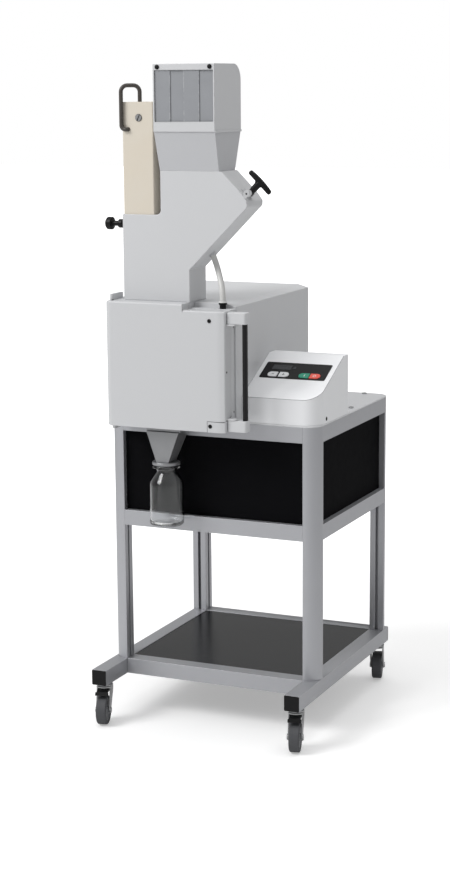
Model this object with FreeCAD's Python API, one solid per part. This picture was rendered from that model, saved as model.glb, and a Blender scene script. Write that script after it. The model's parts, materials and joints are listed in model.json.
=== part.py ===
import FreeCAD, Part
import math
import os

# Analytical cutting mill on a wheeled aluminium profile stand.
# Stand frame while modelling: X to the right seen from the front, Y = 0 at the front
# faces of the legs and growing to the rear, Z = 0 on the floor. Every finished piece
# is moved once along Y so that the origin lies under the middle of the whole machine.

os.makedirs("parts", exist_ok=True)
V = FreeCAD.Vector

# Shared clearances and overruns
over = 5.0
run_gap = 0.3
fit_gap = 0.05
seat_gap = 0.15

# Stand: profiles
profile = 40.0
profile_corner_r = 36.0
slot_w = 8.2
slot_lip = 4.5
slot_pocket_w = 16.0
slot_pocket_d = 6.5
stand_w = 576.0
leg_depth = 537.5
base_z = 106.0
mid_rail_z = 507.0
rail_top_z = 796.0
rail_reach = 124.4
cap_t = 3.0
cap_corner_r = 3.0
table_t = 4.0
shelf_t = 8.0
shelf_drop = 1.0
panel_side_gap = 0.4

# Stand: table bolts
bolt_head_r = 6.5
bolt_head_h = 3.5
bolt_socket_r = 3.0
bolt_socket_d = 2.0
bolt_shank_r = 3.6
bolt_shank_l = 14.0
rear_bolt_inset = 66.0
side_bolt_share = 0.54

# Casters
wheel_r = 37.5
wheel_w = 27.0
wheel_edge_r = 3.0
wheel_dish_r = 27.0
wheel_dish_d = 4.0
hub_r = 10.0
axle_r = 4.0
axle_head_r = 7.5
axle_head_t = 2.5
caster_inset = 33.0
caster_trail = 21.0
caster_turn_deg = 15.0
caster_head_r = 20.0
caster_head_h = 7.0
caster_race_r = 16.0
kingpin_r = 5.0
kingpin_nut_r = 8.0
kingpin_nut_h = 4.0
crown_r = 25.0
crown_t = 3.0
cheek_t = 3.0
cheek_gap = 2.0
cheek_foot_r = 9.0
cheek_top_drop = 14.0
pedal_pin_t = 13.5
pedal_pin_drop = 7.7
pedal_pin_r = 2.5
pedal_side_gap = 1.0
pedal_top_drop = 4.2
pedal_tail_gap = 3.0
pedal_neck_t = 8.5
pedal_reach = 28.0
pedal_tip_drop = 13.5
pedal_tip_t = 5.0
pedal_slope_share = 0.55

# Mill: overall planes
mill_left = -243.0
mill_right = 85.0
block_front = -60.5
block_rear = 42.0
plate_rear = -32.0
hopper_base_right = -28.0
hopper_base_rise = 176.5
ledge_drop = 14.0
overhang_drop = 13.0
table_gap = 0.5
cover_rear = 452.0
cover_side_drop = 10.0
cover_crown = 8.0
cover_shoulder = 28.0
cover_wall = 3.0
vent_count = 8
vent_w = 5.0
vent_pitch = 14.0
vent_rise = 55.0
vent_h = 70.0
side_recess_d = 4.0
side_recess_front = -48.0
side_recess_rise = 30.0
side_recess_drop = 30.5
rear_drum_inset = 11.0
rear_drum_rear = 70.0
rear_drum_drop = 14.0

# Mill: cutting chamber
rotor_x = -110.0
rotor_rise = 125.0
rotor_r = 64.5
rotor_front = -50.0
rotor_rear = 45.0
rotor_teeth = 6
rotor_gullet_share = 0.74
rotor_edge_w = 9.0
bore_gap = 2.0
bore_rear = 48.0
shaft_r = 15.0
shaft_seal_gap = 0.4
sieve_t = 2.6
sieve_gap = 2.7
sieve_slot_w = 5.0
sieve_slot_count = 7
sieve_slot_pitch_deg = 21.0
sieve_rim = 10.0
bar_t = 9.0
bar_h = 15.0
bar_angles_deg = (14.0, 55.0, 166.0)
bar_tip_gap = 1.0
trough_half_w = 40.0
trough_front = -51.0
trough_lip_rear = -17.0
trough_slope_rise = 50.0
inlet_left_drop = 101.0

# Mill: hopper chute, front outline in X and Z
chute_front = -60.0
chute_rear = 37.0
sheet = 2.5
shaft_left = -207.6
shaft_rim_rise = 212.5
plunger_w = 83.8
notch_right = -102.5
notch_r = 12.0
slope_h = 52.0
chute_top_right = 62.0
slope_foot_x = 114.0
slope_foot_rise = 19.5
tip_x = 129.0
tip_h = 12.5
tip_rise = 155.5
tip_round = 10.0
skirt_right = -26.0
skirt_rise = 80.0

# Mill: hopper funnel and hood
funnel_left = -102.5
funnel_right = 56.0
funnel_rear = 36.0
funnel_h = 95.0
hood_left = -106.0
hood_right = 57.0
hood_front = -86.0
hood_rear = 72.0
hood_h = 161.0
hood_rear_r = 40.0
hood_band = 15.0
hood_sill = 24.0
hood_edge = 3.5
strip_count = 4
strip_t = 2.0
strip_lap = 3.0
strip_hem = 6.0
hood_screw_r = 5.8
hood_screw_h = 3.0
hood_screw_inset = 12.0

# Mill: plunger
plunger_bottom_rise = 138.5
plunger_stand = 273.0
plunger_cap_t = 7.0
plunger_wall = 8.0
plunger_edge_r = 3.0
pin_gap = 0.3
handle_rod_r = 5.0
handle_bend_r = 16.0
handle_y = -36.0
handle_leg_x = -166.5
handle_low_x = -204.5
handle_low_y = -63.0
handle_foot_x = -188.5
handle_foot_y_r = 5.2
handle_foot_bend_r = 10.0
handle_rise = 40.0
handle_foot_drop = 66.0
handle_foot_d = 6.0
screw_x = -160.0
screw_drop = 38.0
screw_r = 9.0
screw_h = 2.5
screw_slot_w = 2.2

# Mill: index knob
knob_drop = 27.0
knob_y = -12.0
bush_r = 9.0
bush_l = 24.0
bush_flange_r = 11.0
bush_flange_t = 10.0
knob_pin_r = 3.6
knob_neck_r = 6.5
knob_neck_l = 15.7
knob_head_r = 16.0
knob_head_l = 19.0
knob_edge_r = 5.0

# Mill: tilting T-handle on the chute's slope
t_pivot_off = 8.5
t_pivot_past = 7.5
t_hub_r = 7.0
t_pin_r = 3.0
t_hub_w = 15.0
t_ear_t = 3.5
t_ear_r = 7.5
t_base_t = 2.0
t_base_up = 20.0
t_base_down = 4.0
t_stem_r = 7.4
t_stem_l = 35.6
t_bar_r = 5.8
t_bar_mid_r = 7.2
t_bar_l = 66.0
t_handle_y = -30.0

# Mill: suction hose and glands
hose_r = 7.5
gland_r = 10.2
gland_body_r = 7.9
gland_h = 8.5
gland_body_h = 10.0
gland_x = 57.0
gland_y = -46.3
upper_gland_r = 9.0
upper_gland_h = 7.0
hose_root_x = 10.0
hose_root_y = -2.0
hose_lead = 21.0
hose_arc_share = 0.45
hose_lean_x_share = 0.51
hose_lean_y_share = -0.18
hose_end_lead = 24.0
hose_bow = 1.0

# Door
door_gap = 1.0
door_depth = 40.5
door_wall = 6.0
door_front_left_r = 18.0
door_bevel_w = 15.0
door_bevel_d = 3.5
door_bevel_r = 50.0
door_edge_r = 4.5
door_lip_r = 4.0
door_boss_w = 20.0
door_left_step = 2.5
liner_t = 4.0
liner_rim = 5.0
hinge_x = -236.0
hinge_y = -71.0
hinge_pin_r = 3.0
strap_w = 10.0
strap_top_h = 14.5
strap_bottom_h = 12.0
strap_rear = -18.0
hinge_pin_l = 22.0
door_screw_r = 5.0
door_screw_h = 1.5
door_screw_inset = 40.0
door_screw_drop = 23.5
door_screw_rise = 15.5

# Locking lever on the door's right side
lever_pin_x = 101.0
lever_pin_y = -82.0
lever_pin_r = 4.0
lever_root_r = 15.7
lever_front = 7.5
lever_back = 19.5
lever_corner_r = 7.0
lever_pin_bite = 16.0
lever_arm_h = 28.0
lever_upper_drop = 31.5
lever_lower_rise = 3.0
lever_reach = 137.0
lever_plate_t = 4.0
lever_plate_r = 9.0
grip_left = 122.75
grip_w = 11.5
grip_y = -76.0
grip_depth = 14.0
grip_corner_r = 4.5
tab_t = 6.0
tab_h = 16.0
tab_reach = 28.0
tab_side = 13.5
striker_t = 4.0
striker_w = 15.0
striker_rear = -32.5
corner_block_w = 48.0
corner_block_h = 27.0
corner_block_rise = 11.0

# Outlet and bottle
outlet_x = -104.0
outlet_y = -45.0
outlet_flange_t = 14.5
outlet_flange_half_w = 47.0
outlet_flange_front = -60.0
outlet_flange_rear = -5.0
outlet_funnel_half_w = 45.0
outlet_funnel_front = -66.0
outlet_funnel_rear = -4.0
outlet_funnel_t = 2.0
outlet_foot_half_w = 17.0
outlet_foot_half_d = 23.0
ring_drop = 78.0
ring_r = 35.5
ring_t = 7.5
ring_bore_r = 15.0
ring_stub_r = 21.7
ring_stub_l = 16.0
gasket_t = 2.0
gasket_r = 33.5
bottle_lip_r = 35.0
bottle_lip_h = 8.0
bottle_neck_r = 25.0
bottle_neck_h = 7.0
bottle_shoulder_h = 15.0
bottle_body_r = 43.5
bottle_h = 153.2
bottle_shoulder_r = 22.0
bottle_neck_fillet = 6.0
bottle_wall = 3.0
bottle_base_r = 8.0
bottle_edge_r = 2.0

# Drive train inside the housing
drive_shaft_rear = 230.0
bearing_front = 84.0
bearing_rear = 150.0
bearing_r = 44.0
bearing_foot_half_w = 60.0
bearing_foot_h = 16.0
coupling_r = 42.0
coupling_front = 160.0
coupling_rear = 196.0
motor_front = 222.0
motor_rear = 412.0
motor_r = 82.0
motor_foot_half_w = 80.0
motor_foot_h = 48.0
motor_fin_count = 24
motor_fin_h = 5.0
motor_fin_w = 3.0
motor_bore_l = 18.0

# Control console
console_front = 1.0
console_rear = 218.0
console_fascia_h = 64.0
console_crest_y = 181.0
console_h = 152.0
console_corner_r = 44.0
console_rear_r = 6.0
console_wall = 5.0
keypad_inset = 13.5
keypad_w_share = 0.869458
keypad_start = 86.7
keypad_h = 69.3
keypad_t = 1.2
keypad_corner_r = 4.0
button_rise = 5.3
button_h = 20.5
minus_off_share = 0.109348
minus_w_share = 0.146742
plus_off_share = 0.281586
plus_w_share = 0.149008
start_off_share = 0.584703
start_w_share = 0.158640
stop_off_share = 0.753541
stop_w_share = 0.156374
button_gap = 0.35
button_proud = 1.3
button_t = 3.6
button_pocket = 3.6
display_off_share = 0.124079
display_w_share = 0.287819
display_rise = 36.8
display_h = 20.5
display_proud = 0.6
lamp_off_share = 0.436261
lamp_w_share = 0.050992
lamp_rise = 41.3
lamp_h = 9.0
console_screw_y = 62.0
console_screw_rise = 11.0
console_screw_r = 5.0
console_screw_h = 1.5

# Rear power inlet
inlet_x = -180.0
inlet_rise = 125.0
inlet_half_w = 24.0
inlet_half_h = 16.0
inlet_depth = 14.0
inlet_flange_t = 2.0
inlet_flange_rim = 6.0
inlet_mouth_half_w = 12.5
inlet_mouth_half_h = 8.5
inlet_mouth_d = 11.0
inlet_pin_r = 1.5
inlet_pin_l = 9.0
inlet_pin_pitch = 7.0

# Derived planes
half_w = stand_w / 2
inner_x = half_w - profile
rear_leg_front = leg_depth - profile
base_top_z = base_z + profile
top_rail_z = rail_top_z - profile
mill_z = rail_top_z + table_t
rotor_z = mill_z + rotor_rise
bore_r = rotor_r + bore_gap
sieve_r = rotor_r + sieve_gap
overhang_z = mill_z - overhang_drop
trough_slope_z = mill_z + trough_slope_rise
hopper_base_top = rotor_z + hopper_base_rise
ledge_top = hopper_base_top - ledge_drop
cover_side_top = hopper_base_top - cover_side_drop
vent_low_z = rotor_z + vent_rise
vent_high_z = vent_low_z + vent_h
side_recess_low_z = overhang_z + side_recess_rise
side_recess_high_z = ledge_top - side_recess_drop
skirt_top_z = hopper_base_top + skirt_rise
tip_bottom_z = skirt_top_z + tip_rise
tip_top_z = tip_bottom_z + tip_h
slope_foot_z = tip_top_z + slope_foot_rise
chute_top_z = slope_foot_z + slope_h
shaft_rim_z = hopper_base_top + shaft_rim_rise
funnel_top_z = chute_top_z + funnel_h
hood_top_z = funnel_top_z + hood_h
plunger_bottom_z = hopper_base_top + plunger_bottom_rise
plunger_top_z = shaft_rim_z + plunger_stand
knob_z = shaft_rim_z - knob_drop
lever_upper_z = ledge_top - lever_upper_drop
lever_lower_z = overhang_z + lever_lower_rise
outlet_flange_z = overhang_z - outlet_flange_t
console_fascia_z = mill_z + console_fascia_h
console_top_z = mill_z + console_h
console_screw_z = mill_z + console_screw_rise
inlet_z = rotor_z + inlet_rise
ring_top_z = outlet_flange_z - ring_drop
keypad_w = (half_w - mill_right) * keypad_w_share
keypad_right = half_w - keypad_inset
keypad_left = keypad_right - keypad_w
front_extent = rail_reach - caster_inset + caster_trail + wheel_r
rear_extent = leg_depth - caster_inset + caster_trail + wheel_r
row_shift = V(0, (front_extent - rear_extent) / 2, 0)


def box(x0, x1, y0, y1, z0, z1):
    return Part.makeBox(x1 - x0, y1 - y0, z1 - z0, V(x0, y0, z0))


def rod(start, direction, radius, length):
    return Part.makeCylinder(radius, length, start, direction)


def loop(points, place):
    # Closed wire through (a, b) or (a, b, radius) corners; radius rounds the corner.
    count = len(points)
    flat = [V(p[0], p[1], 0) for p in points]
    firsts = []
    lasts = []
    arcs = []
    for i in range(count):
        here = flat[i]
        radius = points[i][2] if len(points[i]) > 2 else 0
        if radius <= 0:
            firsts.append(here)
            lasts.append(here)
            arcs.append(None)
            continue
        back = (flat[i - 1] - here).normalize()
        ahead = (flat[(i + 1) % count] - here).normalize()
        half_turn = math.acos(max(-1, min(1, back.dot(ahead)))) / 2
        run = radius / math.tan(half_turn)
        toward = (back + ahead).normalize()
        middle = here + toward * (radius / math.sin(half_turn) - radius)
        firsts.append(here + back * run)
        lasts.append(here + ahead * run)
        arcs.append(middle)
    edges = []
    for i in range(count):
        if arcs[i] is not None:
            edges.append(Part.Arc(place(firsts[i]), place(arcs[i]), place(lasts[i])).toShape())
        nxt = firsts[(i + 1) % count]
        if (nxt - lasts[i]).Length > fit_gap / over:
            edges.append(Part.LineSegment(place(lasts[i]), place(nxt)).toShape())
    return Part.Wire(edges)


def slab_xz(points, y0, y1):
    wire = loop(points, lambda p: V(p.x, y0, p.y))
    return Part.Face(wire).extrude(V(0, y1 - y0, 0))


def slab_yz(points, x0, x1):
    wire = loop(points, lambda p: V(x0, p.x, p.y))
    return Part.Face(wire).extrude(V(x1 - x0, 0, 0))


def slab_xy(points, z0, z1):
    wire = loop(points, lambda p: V(p.x, p.y, z0))
    return Part.Face(wire).extrude(V(0, 0, z1 - z0))


def rect(a0, a1, b0, b1, r=0):
    return [(a0, b0, r), (a1, b0, r), (a1, b1, r), (a0, b1, r)]


def put(node, *solids):
    moved = []
    for solid in solids:
        piece = solid.copy()
        piece.translate(row_shift)
        for part in piece.Solids:
            moved.append(part)
    shape = moved[0] if len(moved) == 1 else Part.makeCompound(moved)
    if not shape.isValid() or not moved:
        print("INVALID", node)
    shape.exportStep("parts/" + node + ".step")
    b = shape.optimalBoundingBox(False, False)
    print("%-20s solids %2d volume %10.0f  X %.1f..%.1f Y %.1f..%.1f Z %.1f..%.1f"
          % (node, len(moved), shape.Volume, b.XMin, b.XMax, b.YMin, b.YMax, b.ZMin, b.ZMax))
    boxes.append(b)


def anchor(name, point):
    place = point + row_shift
    print("anchor %s %.3f %.3f %.3f" % (name, place.x, place.y, place.z))


boxes = []
fixings = []


# Profile sections, drawn about their own centre in a, b
def slot_cut(side, length_slab):
    # T-slot opening on one side of a square profile section; side is a unit (a, b).
    h = profile / 2
    deep = h - slot_lip - slot_pocket_d
    lip = [(-slot_w / 2, deep + slot_pocket_d / 2), (slot_w / 2, deep + slot_pocket_d / 2),
           (slot_w / 2, h + over), (-slot_w / 2, h + over)]
    pocket = [(-slot_pocket_w / 2, deep), (slot_pocket_w / 2, deep),
              (slot_pocket_w / 2, h - slot_lip), (-slot_pocket_w / 2, h - slot_lip)]
    turned = []
    for outline in (lip, pocket):
        turned.append([(side[1] * a + side[0] * b, -side[0] * a + side[1] * b) for a, b in outline])
    return [length_slab(turned[0]), length_slab(turned[1])]


def rail_x(x0, x1, y, z, sides):
    # Rail along X whose centre line is at y, z; sides name the slotted faces as (y, z).
    body = box(x0, x1, y - profile / 2, y + profile / 2, z - profile / 2, z + profile / 2)
    for side in sides:
        cuts = slot_cut(side, lambda pts: slab_yz([(y + a, z + b) for a, b in pts], x0 - over, x1 + over))
        body = body.cut(cuts[0]).cut(cuts[1])
    return body


def rail_y(y0, y1, x, z, sides):
    body = box(x - profile / 2, x + profile / 2, y0, y1, z - profile / 2, z + profile / 2)
    for side in sides:
        cuts = slot_cut(side, lambda pts: slab_xz([(x + a, z + b) for a, b in pts], y0 - over, y1 + over))
        body = body.cut(cuts[0]).cut(cuts[1])
    return body


def leg(sx, sy):
    # Quarter-round upright; its round corner points to the outside of the stand.
    x = sx * (half_w - profile / 2)
    y = profile / 2 if sy < 0 else leg_depth - profile / 2
    h = profile / 2
    corners = [(-h, -h), (h, -h), (h, h), (-h, h)]
    pts = [(x + a, y + b, profile_corner_r if a * sx > 0 and b * sy > 0 else 0) for a, b in corners]
    body = slab_xy(pts, base_top_z, rail_top_z)
    for side in ((-sx, 0), (0, -sy)):
        cuts = slot_cut(side, lambda q: slab_xy([(x + a, y + b) for a, b in q],
                                                base_top_z - over, rail_top_z + over))
        body = body.cut(cuts[0]).cut(cuts[1])
    return body


def build_stand():
    h = profile / 2
    put("frame_legs", *[leg(sx, sy) for sx in (-1, 1) for sy in (-1, 1)])
    ends = (-rail_reach + cap_t, leg_depth)
    base_sides = [rail_y(ends[0], ends[1], sx * (half_w - h), base_z + h, ((0, -1),)) for sx in (-1, 1)]
    front_y = h
    rear_y = leg_depth - h
    base_sides.append(rail_x(-inner_x, inner_x, front_y, base_z + h, ((1, 0),)))
    base_sides.append(rail_x(-inner_x, inner_x, rear_y, base_z + h, ((-1, 0),)))
    put("base_rails", *base_sides)
    caps = []
    for sx in (-1, 1):
        for y0, y1 in ((-rail_reach, ends[0]), (leg_depth, leg_depth + cap_t)):
            x0, x1 = sorted((sx * inner_x, sx * half_w))
            caps.append(slab_xz(rect(x0, x1, base_z, base_top_z, cap_corner_r), y0, y1))
    put("rail_end_caps", *caps)
    rails = []
    for z, sides in ((mid_rail_z + h, ((0, 1),)), (top_rail_z + h, ((0, 1), (0, -1)))):
        rails += [rail_x(-inner_x, inner_x, y, z, sides) for y in (front_y, rear_y)]
        rails += [rail_y(profile, rear_leg_front, sx * (half_w - h), z, sides) for sx in (-1, 1)]
    put("table_rails", *rails)
    # Panels stand in the slots of the rails and uprights.
    bite = slot_lip + slot_pocket_d
    thick = slot_w - panel_side_gap * 2
    z0 = mid_rail_z + profile - bite
    z1 = top_rail_z + bite - panel_side_gap
    side_bite = bite - panel_side_gap
    panels = []
    for y in (front_y, rear_y):
        panels.append(box(-inner_x - side_bite, inner_x + side_bite, y - thick / 2, y + thick / 2, z0, z1))
    for sx in (-1, 1):
        x = sx * (half_w - h)
        panels.append(box(x - thick / 2, x + thick / 2, profile - side_bite,
                          rear_leg_front + side_bite, z0, z1))
    put("infill_panels", *panels)
    put("shelf_panel", box(-inner_x, inner_x, profile, rear_leg_front,
                           base_top_z - shelf_drop - shelf_t, base_top_z - shelf_drop))
    top = slab_xy(rect(-half_w, half_w, 0, leg_depth, profile_corner_r), rail_top_z, mill_z)
    bolts = []
    side_bolt_y = leg_depth * side_bolt_share
    for sx in (-1, 1):
        for x, y in ((sx * (half_w - h), side_bolt_y), (sx * (half_w - rear_bolt_inset), rear_y)):
            top = top.cut(rod(V(x, y, rail_top_z - over), V(0, 0, 1), bolt_shank_r + run_gap,
                              table_t + over * 2))
            head = rod(V(x, y, mill_z), V(0, 0, 1), bolt_head_r, bolt_head_h)
            head = head.fuse(rod(V(x, y, mill_z - bolt_shank_l), V(0, 0, 1), bolt_shank_r, bolt_shank_l))
            head = head.cut(rod(V(x, y, mill_z + bolt_head_h - bolt_socket_d), V(0, 0, 1),
                                bolt_socket_r, over))
            bolts.append(head.removeSplitter())
    put("table_top", top)
    fixings.extend(bolts)


def build_casters():
    heads = []
    crown_z = base_z - caster_head_h - run_gap
    for tag, sx, sy in (("front_left", -1, -1), ("front_right", 1, -1),
                        ("rear_left", -1, 1), ("rear_right", 1, 1)):
        x = sx * (half_w - profile / 2)
        y = -rail_reach + caster_inset if sy < 0 else leg_depth - caster_inset
        wheel_y = y + sy * caster_trail

        def aim(shape):
            # Turns a piece about the swivel axis, the way the caster stands.
            shape.rotate(V(x, y, 0), V(0, 0, 1), caster_turn_deg)
            return shape

        # Fixed swivel head with its kingpin
        head = rod(V(x, y, base_z - caster_head_h / 2), V(0, 0, 1), caster_race_r, caster_head_h / 2)
        head = head.fuse(rod(V(x, y, base_z - caster_head_h), V(0, 0, 1), caster_head_r, caster_head_h / 2))
        pin_l = caster_head_h / 2 + run_gap * 2 + crown_t + kingpin_nut_h
        pin_z = base_z - caster_head_h / 2 - pin_l
        head = head.fuse(rod(V(x, y, pin_z), V(0, 0, 1), kingpin_r, pin_l))
        nut_z = crown_z - crown_t - run_gap
        head = head.fuse(rod(V(x, y, nut_z - kingpin_nut_h), V(0, 0, 1), kingpin_nut_r, kingpin_nut_h))
        heads.append(head.removeSplitter())
        # Fork: crown and two cheeks that lean to the axle
        inner = wheel_w / 2 + cheek_gap
        outer = inner + cheek_t
        fork = rod(V(x, y, crown_z - crown_t), V(0, 0, 1), crown_r, crown_t)
        fork = fork.common(box(x - outer, x + outer, y - crown_r, y + crown_r, 0, base_z))
        half_top = math.sqrt(crown_r ** 2 - outer ** 2)
        hub = V(0, wheel_y, wheel_r)
        top_z = crown_z
        low_z = crown_z - cheek_top_drop
        a = [V(0, y - half_top, 0), V(0, y + half_top, 0)]
        turn = math.atan2(wheel_y - y, low_z - wheel_r)
        back = V(0, math.cos(turn), math.sin(turn)) * cheek_foot_r
        pts = [(a[0].y, top_z), (a[0].y, low_z), (hub.y - back.y, hub.z - back.z * sy * sy),
               (hub.y - cheek_foot_r / 2, hub.z - cheek_foot_r * math.sqrt(3) / 2),
               (hub.y + cheek_foot_r / 2, hub.z - cheek_foot_r * math.sqrt(3) / 2),
               (hub.y + back.y, hub.z + back.z), (a[1].y, low_z), (a[1].y, top_z)]
        for side in (-1, 1):
            x0, x1 = sorted((x + side * inner, x + side * outer))
            cheek = slab_yz(pts, x0, x1)
            fork = fork.fuse(cheek)
        fork = fork.cut(rod(V(x, y, 0), V(0, 0, 1), kingpin_r + fit_gap, base_z))
        axle = rod(V(x - outer - axle_head_t, wheel_y, wheel_r), V(1, 0, 0), axle_r, (outer + axle_head_t) * 2)
        for side in (-1, 1):
            x0 = x + side * outer if side > 0 else x - outer - axle_head_t
            axle = axle.fuse(rod(V(x0, wheel_y, wheel_r), V(1, 0, 0), axle_head_r, axle_head_t))
        fork = fork.fuse(axle)
        pin_y = y + sy * pedal_pin_t
        pin_zz = crown_z - pedal_pin_drop
        if sy < 0:
            fork = fork.cut(rod(V(x - half_w, pin_y, pin_zz), V(1, 0, 0), pedal_pin_r + fit_gap, stand_w))
        put("caster_fork_" + tag, aim(fork.removeSplitter()))
        # Wheel: tread and hub, dished on both faces
        half = wheel_w / 2
        section = [(axle_r + fit_gap, -half), (hub_r, -half), (hub_r, -half + wheel_dish_d),
                   (wheel_dish_r, -half + wheel_dish_d), (wheel_dish_r, -half), (wheel_r, -half, wheel_edge_r),
                   (wheel_r, half, wheel_edge_r), (wheel_dish_r, half), (wheel_dish_r, half - wheel_dish_d),
                   (hub_r, half - wheel_dish_d), (hub_r, half), (axle_r + fit_gap, half)]
        wire = loop(section, lambda p: V(x + p.y, wheel_y, wheel_r + p.x))
        wheel = Part.Face(wire).revolve(V(x, wheel_y, wheel_r), V(1, 0, 0), 360)
        put("caster_wheel_" + tag, aim(wheel))
        anchor("swivel_" + tag, V(x, y, crown_z))
        anchor("wheel_" + tag, aim(Part.Vertex(x, wheel_y, wheel_r)).Point)
        if sy > 0:
            continue
        # Brake pedal between the cheeks, above the wheel
        t0 = pedal_pin_t - pedal_tail_gap
        t1 = pedal_pin_t + pedal_reach
        zt = crown_z - pedal_top_drop
        tip_z = zt - pedal_tip_drop
        mid_t = t0 + pedal_reach * pedal_slope_share
        outline = [(t0, zt), (mid_t, zt), (t1 - pedal_tip_t, zt - pedal_tip_t), (t1, tip_z),
                   (t1 - pedal_tip_t, tip_z - fit_gap), (mid_t, zt - pedal_neck_t),
                   (t0, zt - pedal_neck_t)]
        half_p = inner - pedal_side_gap
        pedal = slab_yz([(y + sy * t, z) for t, z in outline], x - half_p, x + half_p)
        tip_half = half_p + cheek_t
        tread = slab_yz([(y + sy * t, z) for t, z in outline[2:5]] , x - tip_half, x + tip_half)
        pedal = pedal.fuse(tread)
        pedal = pedal.cut(rod(V(x, y, 0), V(0, 0, 1), kingpin_nut_r + run_gap, base_z))
        pedal = pedal.fuse(rod(V(x - outer, pin_y, pin_zz), V(1, 0, 0), pedal_pin_r, outer * 2))
        put("brake_pedal_" + tag.split("_")[1], aim(pedal.removeSplitter()))
        anchor("pedal_" + tag, aim(Part.Vertex(x, pin_y, pin_zz)).Point)
    put("caster_heads", *heads)


def rotor_rod(y0, y1, r):
    return rod(V(rotor_x, y0, rotor_z), V(0, 1, 0), r, y1 - y0)


def bar_box(angle, grow):
    # Cutting bar at an angle about the rotor axis, its edge facing the rotor.
    tip = rotor_r + bar_tip_gap
    b = box(tip - grow, tip + bar_h + grow, rotor_front, rotor_rear, -bar_t / 2 - grow, bar_t / 2 + grow)
    b.rotate(V(0, 0, 0), V(0, 1, 0), -angle)
    b.translate(V(rotor_x, 0, rotor_z))
    return b


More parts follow.
